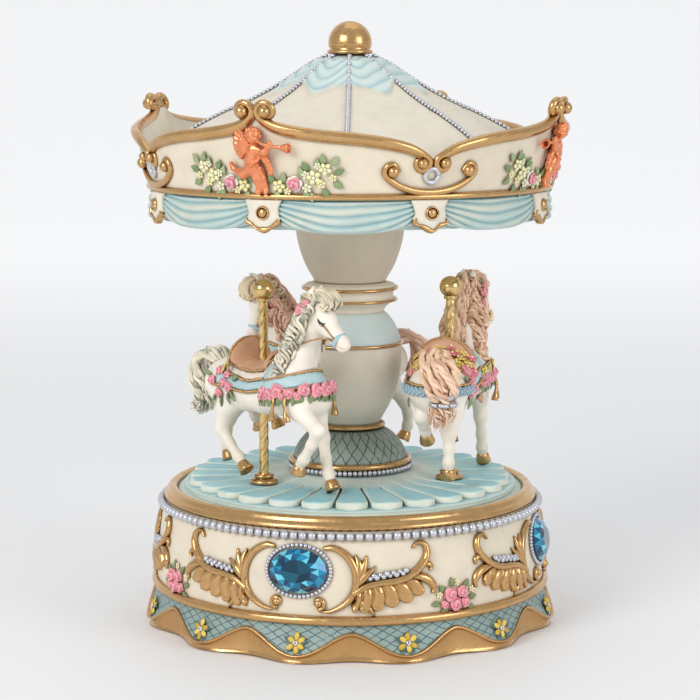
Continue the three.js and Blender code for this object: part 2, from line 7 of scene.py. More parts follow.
import math

import bpy
import numpy as np
import openvdb
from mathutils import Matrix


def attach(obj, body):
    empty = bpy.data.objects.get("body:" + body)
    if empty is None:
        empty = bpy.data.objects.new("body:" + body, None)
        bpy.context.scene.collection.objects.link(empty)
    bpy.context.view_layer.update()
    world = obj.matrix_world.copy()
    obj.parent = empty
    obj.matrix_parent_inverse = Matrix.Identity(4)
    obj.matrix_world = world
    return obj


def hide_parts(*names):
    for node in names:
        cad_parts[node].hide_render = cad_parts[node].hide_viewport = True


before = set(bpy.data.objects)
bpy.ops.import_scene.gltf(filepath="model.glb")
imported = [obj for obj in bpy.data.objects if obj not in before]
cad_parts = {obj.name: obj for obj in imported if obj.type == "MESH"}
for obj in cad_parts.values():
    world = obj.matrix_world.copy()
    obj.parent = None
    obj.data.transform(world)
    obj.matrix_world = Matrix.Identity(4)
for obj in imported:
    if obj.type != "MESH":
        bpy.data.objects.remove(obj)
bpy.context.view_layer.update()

MM = 0.001
random = np.random.default_rng(7)

# ---- colours, as linear light --------------------------------------------------------------------


def srgb(red, green, blue):
    """A colour given by its sRGB numbers from 0 to 255, as linear light."""
    return tuple(((c / 255 + 0.055) / 1.055) ** 2.4 if c > 10 else c / 3295 for c in (red, green, blue))


def between(first, second, share):
    """The colours a share of the way from the first to the second."""
    return (1 - share) * np.array(first) + share * np.array(second)


CREAM = srgb(228, 216, 194)
TAUPE = srgb(176, 160, 132)
BLUE = srgb(176, 214, 220)
DEEP_BLUE = srgb(96, 150, 162)
DARK_TEAL = srgb(62, 88, 88)
DOME_GREEN = srgb(150, 163, 152)
ROSE_PINK = srgb(240, 122, 144)
PALE_PINK = srgb(252, 214, 210)
YELLOW = srgb(242, 214, 84)
PALE_YELLOW = srgb(250, 240, 190)
LEAF_GREEN = srgb(96, 132, 70)
GOLD = srgb(208, 166, 112)
# the darker gold painted into the gilding's hollows: painted shade, which also stands for the antiquing
GOLD_WASH_AND_SHADE = srgb(98, 60, 30)
COPPER = srgb(240, 150, 104)

# ---- materials -----------------------------------------------------------------------------------


def new_material(name):
    made = bpy.data.materials.new(name)
    made.use_nodes = True
    return made, made.node_tree.nodes, made.node_tree.links, made.node_tree.nodes["Principled BSDF"]


def mixed(nodes, links, factor, first, second, blend="MIX"):
    """The socket of a colour mix; factor and the two colours are sockets or plain values."""
    mix = nodes.new("ShaderNodeMix")
    mix.data_type = "RGBA"
    mix.blend_type = blend
    for socket, value in ((mix.inputs[0], factor), (mix.inputs[6], first), (mix.inputs[7], second)):
        if isinstance(value, bpy.types.NodeSocket):
            links.new(value, socket)
        else:
            socket.default_value = value if isinstance(value, float) else (*value, 1)
    return mix.outputs[2]


def ranged(nodes, links, value, low, high, to_low=0.0, to_high=1.0):
    """Maps a value from one range to another, held at the ends."""
    node = nodes.new("ShaderNodeMapRange")
    node.interpolation_type = "SMOOTHSTEP"
    links.new(value, node.inputs[0])
    for socket, number in zip(node.inputs[1:5], (low, high, to_low, to_high)):
        socket.default_value = number
    return node.outputs[0]


def noise(nodes, links, scale, detail=4.0):
    place = nodes.new("ShaderNodeTexCoord")
    node = nodes.new("ShaderNodeTexNoise")
    node.inputs["Scale"].default_value = scale
    node.inputs["Detail"].default_value = detail
    links.new(place.outputs["Object"], node.inputs["Vector"])
    return node.outputs["Fac"]


def finish(
    name, colour=None, roughness=0.5, metallic=0.0, wash_and_shade=None, reach=1.4, mottle=0.1, bump=0.12, coat=0.0,
):
    """The darker colour given for the hollows is painted in up to reach millimetres from a neighbouring
    surface: painted shade there, which also stands for the antiquing.

    wash is the darker colour that stays in the hollows, up to reach millimetres from a neighbouring surface.
    """
    made, nodes, links, shader = new_material(name)
    if colour is None:
        tint = nodes.new("ShaderNodeAttribute")
        tint.attribute_name = "tint"
        base = tint.outputs["Color"]
    else:
        plain = nodes.new("ShaderNodeRGB")
        plain.outputs[0].default_value = (*colour, 1)
        base = plain.outputs[0]
    patches = ranged(nodes, links, noise(nodes, links, 160.0), 0.35, 0.75, 0.0, mottle)
    base = mixed(nodes, links, patches, base, (0.25, 0.2, 0.14), "MULTIPLY")
    if wash_and_shade is not None:
        # painted shade: the base colour turns towards the darker hollow colour where neighbouring surfaces
        # crowd in and shade falls
        hollow_shade = nodes.new("ShaderNodeAmbientOcclusion")
        hollow_shade.samples = 6
        hollow_shade.inputs["Distance"].default_value = reach * MM
        depth = ranged(nodes, links, hollow_shade.outputs["AO"], 0.35, 0.9, 1.0, 0.0)
        base = mixed(nodes, links, depth, base, wash_and_shade)
    links.new(base, shader.inputs["Base Color"])
    uneven = ranged(nodes, links, noise(nodes, links, 420.0), 0.3, 0.7, roughness - 0.07, roughness + 0.09)
    links.new(uneven, shader.inputs["Roughness"])
    shader.inputs["Metallic"].default_value = metallic
    shader.inputs["Coat Weight"].default_value = coat
    shader.inputs["Coat Roughness"].default_value = 0.15
    relief = nodes.new("ShaderNodeBump")
    relief.inputs["Strength"].default_value = bump
    relief.inputs["Distance"].default_value = 0.15 * MM
    links.new(noise(nodes, links, 900.0, 6.0), relief.inputs["Height"])
    links.new(relief.outputs["Normal"], shader.inputs["Normal"])
    return made


# the darker colour that each material gives for its hollows is painted shade there, which also stands for the
# antiquing
MATERIALS = {
    "cream_paint": finish("cream_paint", CREAM, 0.5, wash_and_shade=TAUPE, reach=1.6, mottle=0.08),
    "tinted_paint": finish("tinted_paint", None, 0.5, wash_and_shade=srgb(140, 120, 96), reach=1.0, mottle=0.08),
    "blue_paint": finish("blue_paint", None, 0.5, wash_and_shade=DEEP_BLUE, reach=1.2, mottle=0.1),
    "flower_paint": finish(
        "flower_paint", None, 0.45, wash_and_shade=srgb(120, 60, 60), reach=0.5, mottle=0.05, coat=0.2,
    ),
    "hair_paint": finish("hair_paint", None, 0.5, wash_and_shade=srgb(140, 118, 98), reach=0.8, mottle=0.1),
    "gold_paint": finish("gold_paint", GOLD, 0.23, 0.9, wash_and_shade=GOLD_WASH_AND_SHADE, reach=1.1, mottle=0.12, bump=0.1),
    "copper_paint": finish(
        "copper_paint", COPPER, 0.27, 0.7, wash_and_shade=srgb(160, 66, 34), reach=1.3, mottle=0.1,
    ),
    "pearl": finish(
        "pearl", srgb(205, 206, 212), 0.28, 0.55, wash_and_shade=srgb(120, 118, 120), reach=0.8, mottle=0.04,
    ),
    "brass": finish("brass", srgb(222, 190, 128), 0.16, 1.0, mottle=0.05, bump=0.03),
    "steel": finish("steel", srgb(190, 192, 196), 0.3, 1.0, mottle=0.1, bump=0.08),
    "zinc": finish("zinc", srgb(150, 152, 156), 0.5, 0.8, mottle=0.2, bump=0.3),
    "board": finish("board", srgb(168, 128, 88), 0.75, mottle=0.5, bump=0.5),
}


def jewel_material():
    """A foil-backed stone: each facet carries its own blue from the piece's tint, lighter ones as painted
    glints and darker ones as painted shade, under a clear polished face.
    """
    made, nodes, links, shader = new_material("jewel_glass")
    tint = nodes.new("ShaderNodeAttribute")
    tint.attribute_name = "tint"
    links.new(tint.outputs["Color"], shader.inputs["Base Color"])
    shader.inputs["Roughness"].default_value = 0.06
    shader.inputs["Metallic"].default_value = 0.25
    shader.inputs["Coat Weight"].default_value = 0.5
    shader.inputs["Coat Roughness"].default_value = 0.02
    return made


MATERIALS["jewel_glass"] = jewel_material()

# ---- shapes --------------------------------------------------------------------------------------


def sheet_faces(rows, columns, wrap_rows=False, wrap_columns=False):
    """The quads of a grid of points."""
    row = np.arange(rows if wrap_rows else rows - 1)[:, None]
    column = np.arange(columns if wrap_columns else columns - 1)[None, :]
    below, right = (row + 1) % rows, (column + 1) % columns
    corners = [
        row * columns + column, row * columns + right, below * columns + right, below * columns + column,
    ]
    return np.stack([c.ravel() for c in np.broadcast_arrays(*corners)], axis=1)


class Shape:
    """Surfaces gathered into one mesh: points in millimetres, faces, and a colour for each point."""

    def __init__(self, tint=CREAM):
        self.points = []
        self.tints = []
        self.faces = []
        self.count = 0
        self.tint = tint

    def add(self, points, faces, tint=None):
        points = np.asarray(points, float).reshape(-1, 3)
        colours = np.empty((len(points), 3))
        colours[:] = self.tint if tint is None else tint
        self.points.append(points)
        self.tints.append(colours)
        self.faces.extend((np.asarray(faces) + self.count).tolist())
        self.count += len(points)

    def caps(self, rings, columns):
        """Closes the first and last ring of a tube that was just added."""
        start = self.count - rings * columns
        self.faces.append(list(range(start, start + columns))[::-1])
        self.faces.append(list(range(self.count - columns, self.count)))

    def make(self, name, material, body, replaces=(), flat=False):
        mesh = bpy.data.meshes.new(name)
        mesh.from_pydata((np.concatenate(self.points) * MM).tolist(), [], self.faces)
        colours = np.ones((self.count, 4))
        colours[:, :3] = np.concatenate(self.tints)
        tint = mesh.color_attributes.new("tint", "FLOAT_COLOR", "POINT")
        tint.data.foreach_set("color", colours.ravel())
        mesh.polygons.foreach_set("use_smooth", [not flat] * len(mesh.polygons))
        mesh.materials.append(MATERIALS[material])
        mesh.validate()
        made = bpy.data.objects.new(name, mesh)
        bpy.context.scene.collection.objects.link(made)
        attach(made, body)
        if replaces:
            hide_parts(*replaces)
        return made


def smooth(points, steps):
    """A smooth line through the points: a Catmull-Rom curve with steps points for each stretch."""
    points = np.asarray(points, float)
    ends = np.vstack([2 * points[0] - points[1], points, 2 * points[-1] - points[-2]])
    t = np.linspace(0, 1, steps, endpoint=False)[:, None]
    stretches = []
    for a, b, c, d in zip(ends, ends[1:], ends[2:], ends[3:]):
        squared, cubed = 2 * a - 5 * b + 4 * c - d, 3 * b - a - 3 * c + d
        stretches.append(0.5 * (2 * b + (c - a) * t + squared * t**2 + cubed * t**3))
    return np.vstack([*stretches, points[-1:]])


def polar(azimuth, radius, z):
    """Points from azimuths in degrees, radii and heights."""
    a = np.radians(azimuth)
    return np.stack(np.broadcast_arrays(radius * np.sin(a), -radius * np.cos(a), z), axis=-1)


def turned(shape, outline, segments=128, change=None, tint=None):
    """A turned surface. outline holds [radius, height] points; change(radius, azimuth, z) may reshape it."""
    outline = np.asarray(outline, float)
    azimuth = np.linspace(0, 360, segments, endpoint=False)[None, :]
    radius, z = np.repeat(outline[:, :1], segments, 1), np.repeat(outline[:, 1:], segments, 1)
    if change:
        radius, z = change(radius, azimuth, z)
    points = polar(azimuth, radius, z)
    colours = tint(radius, azimuth, z).reshape(-1, 3) if callable(tint) else tint
    shape.add(points, sheet_faces(len(outline), segments, wrap_columns=True), colours)


def tube(shape, path, radii, sides=10, tint=None, closed=False, across=None, flatness=1.0):
    """A tube along a path, with one radius or one for each point, flattened across a direction."""
    path = np.asarray(path, float)
    radii = np.broadcast_to(np.asarray(radii, float), len(path))
    if closed:
        along = np.roll(path, -1, 0) - np.roll(path, 1, 0)
    else:
        along = np.gradient(path, axis=0)
    along /= np.linalg.norm(along, axis=1)[:, None] + 1e-12
    guide = np.array(across if across is not None else (0.31, 0.2, 0.93), float)
    side = np.cross(along, guide)
    if across is None:
        for i in range(1, len(path)):
            side[i] = side[i - 1] - along[i] * np.dot(side[i - 1], along[i])
            side[i] /= np.linalg.norm(side[i]) + 1e-12
    side /= np.linalg.norm(side, axis=1)[:, None] + 1e-12
    up = np.cross(side, along)
    turn = np.linspace(0, 2 * np.pi, sides, endpoint=False)
    cosine, sine = np.cos(turn)[:, None], flatness * np.sin(turn)[:, None]
    offsets = side[:, None] * cosine + up[:, None] * sine
    points = path[:, None] + offsets * radii[:, None, None]
    shape.add(points, sheet_faces(len(path), sides, wrap_rows=closed, wrap_columns=True), tint)
    if not closed:
        shape.caps(len(path), sides)


def tapered(count, thick, root=0.5, tip=0.12):
    """Radii for a lock, leaf or scroll: root and tip are shares of the thickness in the middle."""
    t = np.linspace(0, 1, count)
    body = np.sin(np.pi * np.clip(t * 0.9 + 0.12, 0, 1)) ** 0.7
    return thick * np.maximum(body, np.where(t < 0.5, root, tip))


def ball_template(rings, columns):
    polar_angle = np.linspace(0.02, np.pi - 0.02, rings)[:, None]
    turn = np.linspace(0, 2 * np.pi, columns, endpoint=False)[None, :]
    return np.stack(
        np.broadcast_arrays(
            np.sin(polar_angle) * np.cos(turn), np.sin(polar_angle) * np.sin(turn), np.cos(polar_angle),
        ),
        axis=-1,
    )


def balls(shape, centres, radius, rings=7, columns=10, tint=None):
    """Beads at the given centres, with one radius or one for each."""
    template = ball_template(rings, columns)
    radius = np.broadcast_to(radius, len(centres))
    for centre, size in zip(centres, radius):
        shape.add(centre + template * size, sheet_faces(rings, columns, wrap_columns=True), tint)
        shape.caps(rings, columns)


def axes_of(normal, upward=(0, 0, 1)):
    """Three directions at right angles, as rows: sideways, upwards and the normal."""
    normal = np.asarray(normal, float) / np.linalg.norm(normal)
    side = np.cross(np.asarray(upward, float), normal)
    side /= np.linalg.norm(side)
    return np.array([side, np.cross(normal, side), normal])


def egg(shape, centre, sizes, axes=np.eye(3), rings=10, columns=14, tint=None):
    """An ellipsoid with its half-sizes along the rows of axes."""
    points = (ball_template(rings, columns) * np.asarray(sizes)) @ np.asarray(axes)
    shape.add(points + centre, sheet_faces(rings, columns, wrap_columns=True), tint)
    shape.caps(rings, columns)


def rose(shape, centre, normal, size, tint=ROSE_PINK, light=PALE_PINK, turn=0.0):
    """A rose: a bud wound in a spiral, in three rows of overlapping petals."""
    rings, columns = 16, 30
    template = ball_template(rings, columns)
    down = np.linspace(0, 1, rings)[:, None]
    around = np.linspace(0, 1, columns, endpoint=False)[None, :]
    petals = np.sin(2 * np.pi * (around * 3 + turn + np.floor(down * 3.4) * 0.37))
    step = (down * 3.4 + around * 0.9) % 1.0
    radius = 0.7 + 0.36 * step * (0.65 + 0.35 * petals) + 0.1 * down
    points = template * radius[..., None] * size
    points[..., 2] *= 0.8
    # each petal darkens towards its root as painted shade in the creases, and pales towards its edge as a
    # painted highlight
    shade = np.clip(step * 1.3 - 0.2, 0, 1)[..., None]
    colours = (1 - shade) * 0.85 * np.array(tint) + shade * (0.4 * np.array(tint) + 0.6 * np.array(light))
    points = points @ axes_of(normal) + centre
    shape.add(points, sheet_faces(rings, columns, wrap_columns=True), colours.reshape(-1, 3))
    shape.caps(rings, columns)


def leaf(shape, base, direction, normal, length, width, tint=LEAF_GREEN, curl=0.25):
    """A pointed leaf with a midrib, as a thin closed sheet."""
    direction = np.asarray(direction, float) / np.linalg.norm(direction)
    normal = np.asarray(normal, float)
    normal = normal - direction * np.dot(normal, direction)
    normal /= np.linalg.norm(normal)
    side = np.cross(direction, normal)
    t = np.linspace(0, 1, 8)[:, None]
    half = 0.5 * width * np.sin(np.pi * t**0.8) + 0.02
    turn = np.linspace(0, 2 * np.pi, 8, endpoint=False)[None, :]
    across = np.cos(turn) * half
    rise = 0.12 * width * np.sin(turn) + 0.3 * np.abs(across) - curl * length * (t - 0.4) ** 2
    points = base + (t * length)[..., None] * direction + across[..., None] * side + rise[..., None] * normal
    shape.add(points, sheet_faces(8, 8, wrap_columns=True), tint)
    shape.caps(8, 8)


def blossom(shape, centre, normal, size, tint=YELLOW, heart=PALE_YELLOW, petals=5, turn=0.0):
    """An open flower: egg-shaped petals round a button."""
    axes = axes_of(normal)
    for i in range(petals):
        a = 2 * math.pi * i / petals + turn
        outward = math.cos(a) * axes[0] + math.sin(a) * axes[1]
        sideways = -math.sin(a) * axes[0] + math.cos(a) * axes[1]
        lean = axes[2] + 0.25 * outward
        place = centre + outward * size * 0.56
        egg(shape, place, (size * 0.46, size * 0.36, size * 0.2), (outward, sideways, lean), 7, 8, tint)
    egg(shape, centre + axes[2] * size * 0.16, (size * 0.26,) * 3, axes, 6, 8, heart)


class Wall:
    """A curved wall, addressed by millimetres along it from an azimuth, height, and distance out of it."""

    def __init__(self, azimuth, radius):
        self.azimuth = azimuth
        self.radius = radius

    def at(self, along, z, out=0.0):
        radius = self.radius(np.asarray(z, float))
        return polar(self.azimuth + np.degrees(np.asarray(along) / radius), radius + out, z)

    def normal(self, along, z):
        step = 0.5
        slope = (self.radius(np.asarray(z + step)) - self.radius(np.asarray(z - step))) / (2 * step)
        outward = self.at(along, z, 1.0) - self.at(along, z)
        return outward - np.array([0, 0, float(slope)])

    def relief(self, shape, path, half_width, height, sides=8, sunk=0.35, tint=None):
        """A raised line on the wall: path holds [along, z] points; widths and heights may vary along it."""
        path = np.asarray(path, float)
        count = len(path)
        half_width = np.broadcast_to(np.asarray(half_width, float), count)[:, None]
        height = np.broadcast_to(np.asarray(height, float), count)[:, None]
        along = np.gradient(path, axis=0)
        along /= np.linalg.norm(along, axis=1)[:, None] + 1e-9
        across = np.stack([-along[:, 1], along[:, 0]], 1)
        turn = np.linspace(0, 2 * np.pi, sides, endpoint=False)[None, :]
        flat = path[:, None] + across[:, None] * (half_width * np.cos(turn))[..., None]
        out = height * (np.sin(turn) + 1) / 2 * 1.15 - sunk * height
        shape.add(
            self.at(flat[..., 0], flat[..., 1], out), sheet_faces(count, sides, wrap_columns=True), tint,
        )
        shape.caps(count, sides)


def spiral(centre, start_radius, end_radius, start_degrees, turns, steps=26):
    """A flat spiral's [along, z] points."""
    t = np.linspace(0, 1, steps)
    radius = start_radius + (end_radius - start_radius) * t**0.85
    angle = np.radians(start_degrees) + 2 * np.pi * turns * t
    return np.stack([centre[0] + radius * np.cos(angle), centre[1] + radius * np.sin(angle)], 1)

# ---- stage, light and camera ---------------------------------------------------------------------


def stage():
    floor_material, nodes, links, shader = new_material("floor")
    shader.inputs["Base Color"].default_value = (0.82, 0.815, 0.81, 1)
    shader.inputs["Roughness"].default_value = 0.6
    # the floor and backdrop glow as painted light, the backdrop behind the object a little more than the
    # floor
    place = nodes.new("ShaderNodeTexCoord")
    apart = nodes.new("ShaderNodeSeparateXYZ")
    links.new(place.outputs["Object"], apart.inputs[0])
    links.new(
        ranged(nodes, links, apart.outputs["Y"], 0.25, 1.5, 0.06, 0.31), shader.inputs["Emission Strength"],
    )
    shader.inputs["Emission Color"].default_value = (1, 1, 1, 1)
    depth = np.concatenate([
        np.linspace(-3, 1.6, 12), 1.6 + 1.2 * np.sin(np.linspace(0, np.pi / 2, 12)[1:]), [2.8],
    ])
    rise = np.concatenate([np.zeros(12), 1.2 * (1 - np.cos(np.linspace(0, np.pi / 2, 12)[1:])), [4.5]])
    width = 4.0
    points = [(x, y, z - 0.0002) for y, z in zip(depth, rise) for x in (-width, width)]
    mesh = bpy.data.meshes.new("floor")
    mesh.from_pydata(points, [], sheet_faces(len(depth), 2).tolist())
    mesh.polygons.foreach_set("use_smooth", [True] * len(mesh.polygons))
    mesh.materials.append(floor_material)
    floor = bpy.data.objects.new("floor", mesh)
    bpy.context.scene.collection.objects.link(floor)

    world = bpy.data.worlds.new("studio")
    world.use_nodes = True
    world.node_tree.nodes["Background"].inputs["Color"].default_value = (0.93, 0.96, 1.0, 1)
    world.node_tree.nodes["Background"].inputs["Strength"].default_value = 0.6
    bpy.context.scene.world = world
    # name, place, size and power of each softbox; all of them face the middle of the object
    for name, place, size, power in (
        ("key_light", (-0.8, -1.0, 0.75), 0.6, 9.5),
        ("fill_light", (1.0, -0.8, 0.5), 0.6, 4.5),
        ("top_light", (0.1, 0.25, 1.3), 0.9, 1.5),
    ):
        lamp = bpy.data.lights.new(name, "AREA")
        lamp.size = size
        lamp.energy = power
        made = bpy.data.objects.new(name, lamp)
        made.location = place
        towards = bpy.data.objects.new(name + "_aim", None)
        towards.location = (0, 0, 0.1)
        aim = made.constraints.new("TRACK_TO")
        aim.target = towards
        for thing in (made, towards):
            bpy.context.scene.collection.objects.link(thing)
    bpy.context.scene.view_settings.view_transform = "Standard"


# fitted to the round rims in the photograph: metres in front of the axis and above the table, degrees down
FOCAL_LENGTH = 116.05
CAMERA_DISTANCE = 0.8104
CAMERA_HEIGHT = 0.2069
CAMERA_PITCH = 7.73


def camera():
    lens = bpy.data.cameras.new("camera")
    lens.lens = FOCAL_LENGTH
    lens.clip_start = 0.05
    made = bpy.data.objects.new("camera", lens)
    made.location = (0, -CAMERA_DISTANCE, CAMERA_HEIGHT)
    made.rotation_euler = (math.radians(90 - CAMERA_PITCH), 0, 0)
    bpy.context.scene.collection.objects.link(made)
    bpy.context.scene.camera = made


stage()
camera()

# ---- base: skirt and drum ------------------------------------------------------------------------

LOBES = 12
JEWEL_AZIMUTH = -14.5
JEWEL_HEIGHT = 31.0
JEWEL_COUNT = 4
# half the stone's length and height, and how far its middle is from the axis
JEWEL_HALF = (10.1, 7.6)
JEWEL_SEAT = 69.6
JEWEL_TILT = 8.5
JEWEL_PEARLS = 46
RIM_PEARLS = 134
PEDESTAL_PEARLS = 78


def lobe(azimuth):
    """1 at the middle of a scallop of the skirt, and 0 between two."""
    return 0.5 + 0.5 * np.cos(np.radians(LOBES * (azimuth - JEWEL_AZIMUTH)))


def wave_edge(azimuth):
    """The height of the skirt's wavy lip."""
    return 10.2 - 7.4 * lobe(azimuth) ** 0.85


def lattice(material_name, paint, lines, across, upward, thin):
    """A painted lattice: across is the lines round the piece, and upward their phase per metre."""
    # the lines' colour is also painted into the hollows as painted shade
    made = finish(material_name, paint, 0.5, wash_and_shade=lines, reach=0.8, mottle=0.12)
    nodes, links = made.node_tree.nodes, made.node_tree.links
    shader = nodes["Principled BSDF"]
    place = nodes.new("ShaderNodeTexCoord")
    apart = nodes.new("ShaderNodeSeparateXYZ")
    links.new(place.outputs["Object"], apart.inputs[0])

    def compute(operation, *values):
        node = nodes.new("ShaderNodeMath")
        node.operation = operation
        for socket, value in zip(node.inputs, values):
            if isinstance(value, bpy.types.NodeSocket):
                links.new(value, socket)
            else:
                socket.default_value = value
        return node.outputs[0]

    turn = compute("MULTIPLY", compute("ARCTAN2", apart.outputs["X"], apart.outputs["Y"]), float(across))
    rise = compute("MULTIPLY", apart.outputs["Z"], upward)
    wobble = compute("MULTIPLY", noise(nodes, links, 500.0, 2.0), 1.1)
    nearest = None
    for direction in (1.0, -1.0):
        phase = compute("ADD", compute("MULTIPLY_ADD", rise, direction, turn), wobble)
        line = compute("ABSOLUTE", compute("SINE", phase))
        nearest = line if nearest is None else compute("MINIMUM", nearest, line)
    painted = ranged(nodes, links, nearest, thin * 0.5, thin, 1.0, 0.0)
    faded = compute(
        "MULTIPLY", painted, ranged(nodes, links, noise(nodes, links, 260.0, 3.0), 0.3, 0.5, 0.35, 1.0),
    )
    base = shader.inputs["Base Color"].links[0].from_socket
    links.new(mixed(nodes, links, faded, base, lines), shader.inputs["Base Color"])
    return made


MATERIALS["skirt_lattice"] = lattice(
    "skirt_lattice", srgb(146, 166, 160), srgb(60, 86, 88), 44, 1150.0, 0.26,
)
MATERIALS["dome_lattice"] = lattice("dome_lattice", DOME_GREEN, srgb(72, 84, 76), 15, 560.0, 0.24)


def skirt():
    band = Shape()
    rows = np.linspace(0, 1, 22)
    outline = np.stack([rows, 1 - rows], 1)

    def draped(share, azimuth, _):
        edge = wave_edge(azimuth)
        out = 70.3 + (0.8 + 3.4 * lobe(azimuth)) * share**1.5
        return out, 13.4 + (edge - 13.4) * share

    turned(band, outline, LOBES * 48, draped)
    band.make("skirt_band", "skirt_lattice", "base")

    hem = Shape()
    # share of the way from the lip to the foot, height over that, and how far the gilding stands out there
    profile = np.array([
        (0, 0.45, -0.6), (0, 0.5, 0.2), (0, 0.3, 0.75), (0, -0.1, 0.95), (0, -0.5, 0.75),
        (0, -0.85, 0.15), (0.05, -0.95, -0.45), (0.4, -0.6, -0.75), (0.75, -0.2, -0.65),
        (0.92, 0, -0.2), (0.98, 0, 0.1), (1, 0, -0.35), (1, 0, -4),
    ])

    def gilded(index, azimuth, _):
        share, rise, out = (profile[index[:, 0].astype(int), i][:, None] for i in range(3))
        edge = wave_edge(azimuth)
        wave = lobe(azimuth)
        face = 71.1 + 3.4 * wave
        foot = 69.9 + 4.4 * wave
        room = np.clip(edge / 4.5, 0.4, 1)
        return face + (foot - face) * share**0.7 + out, np.maximum(edge * (1 - share) + rise * room, 0.02)

    turned(hem, [(i, 0) for i in range(len(profile))], LOBES * 32, gilded)
    turned(hem, [(66, 0.02), (64, 0.02), (64, 13)], 96)
    hem.make("skirt_hem", "gold_paint", "base", ["skirt_plinth"])

    flowers = Shape()
    marks = Shape(DARK_TEAL)
    for i in range(LOBES):
        azimuth = JEWEL_AZIMUTH + i * 360 / LOBES
        centre = polar(azimuth, 73.2, 6.9)
        axes = axes_of(polar(azimuth, 1.0, 0.32))
        petals = 6
        for k in range(petals):
            a = 2 * math.pi * (k + 0.5 + 0.12 * math.sin(5 * k + i)) / petals
            out = math.cos(a) * axes[0] + math.sin(a) * axes[1]
            reach = 2.1 + 0.3 * math.sin(2.3 * k + i)
            shade = 0.5 + 0.5 * math.sin(3.1 * k + i)
            tint = between(srgb(204, 164, 48), srgb(236, 204, 84), shade)
            egg(
                flowers, centre + out * reach, (1.55, 0.98, 0.5), (out, np.cross(axes[2], out), axes[2]), 8,
                10, tint,
            )
        for k, length in enumerate((4.6, 3.9, 4.9, 4.3, 4.0)):
            a = 2 * math.pi * (k + 0.16) / 5
            out = math.cos(a) * axes[0] + math.sin(a) * axes[1]
            leaf(marks, centre - axes[2] * 0.1, out, axes[2], length, 2.0, curl=0.1, tint=srgb(70, 104, 98))
        for k in range(6):
            a = k * 2.4
            place = centre + axes[2] * 0.5 + 0.55 * (math.cos(a) * axes[0] + math.sin(a) * axes[1])
            balls(flowers, [place], 0.42, 5, 7, tint=srgb(226, 226, 228))
    flowers.make("skirt_flowers", "flower_paint", "base")
    marks.make("skirt_flower_leaves", "tinted_paint", "base")


def drum_wall(z):
    """The drum wall's radius at a height."""
    return np.interp(z, [13, 16.5, 24, 32, 40, 45], [70.3, 70.4, 70.2, 69.3, 68.0, 66.6])


def drum():
    wall = Shape()
    turned(wall, [(float(drum_wall(z)), z) for z in np.linspace(14.0, 45.2, 18)], 160)
    wall.make("drum_wall", "cream_paint", "base", ["drum_casing"])

    rings = Shape()
    foot_ring = smooth(
        [(70.2, 13.0), (71.6, 12.9), (72.3, 13.9), (72.2, 15.0), (71.4, 15.8), (70.2, 16.0)], 4,
    )
    turned(rings, foot_ring, 192)
    rim = [(66.2, 44.2), (67.2, 44.5), (67.6, 45.4), (67.1, 46.4), (66.3, 47.2), (65.7, 48.4), (64.6, 49.0)]
    rim += [(63.4, 48.7), (62.8, 47.8), (62.6, 46.0), (62.6, 42.4)]
    turned(rings, smooth(rim, 4), 192)
    rings.make("drum_gold_rims", "gold_paint", "base")

    # the deck round the turntable and the drum's inner wall are dark brown: painted shade in the recess
    # inside the gold rim
    deck = Shape(srgb(70, 52, 36))
    turned(deck, [(62.7, 42.6), (30, 42.4), (6.2, 42.4), (6.2, 42.1)], 96)
    turned(deck, [(6.2, 38.4), (58, 38.4), (58.4, 30), (63.2, 16.4), (64, 15.9)], 96)
    deck.make("drum_deck", "tinted_paint", "base")

    pearls = Shape()
    azimuths = np.arange(RIM_PEARLS) * 360 / RIM_PEARLS
    balls(pearls, polar(azimuths, 68.5, 42.9), 1.56, 8, 12)
    pearls.make("rim_pearls", "pearl", "base", ["rim_pearl_string"])


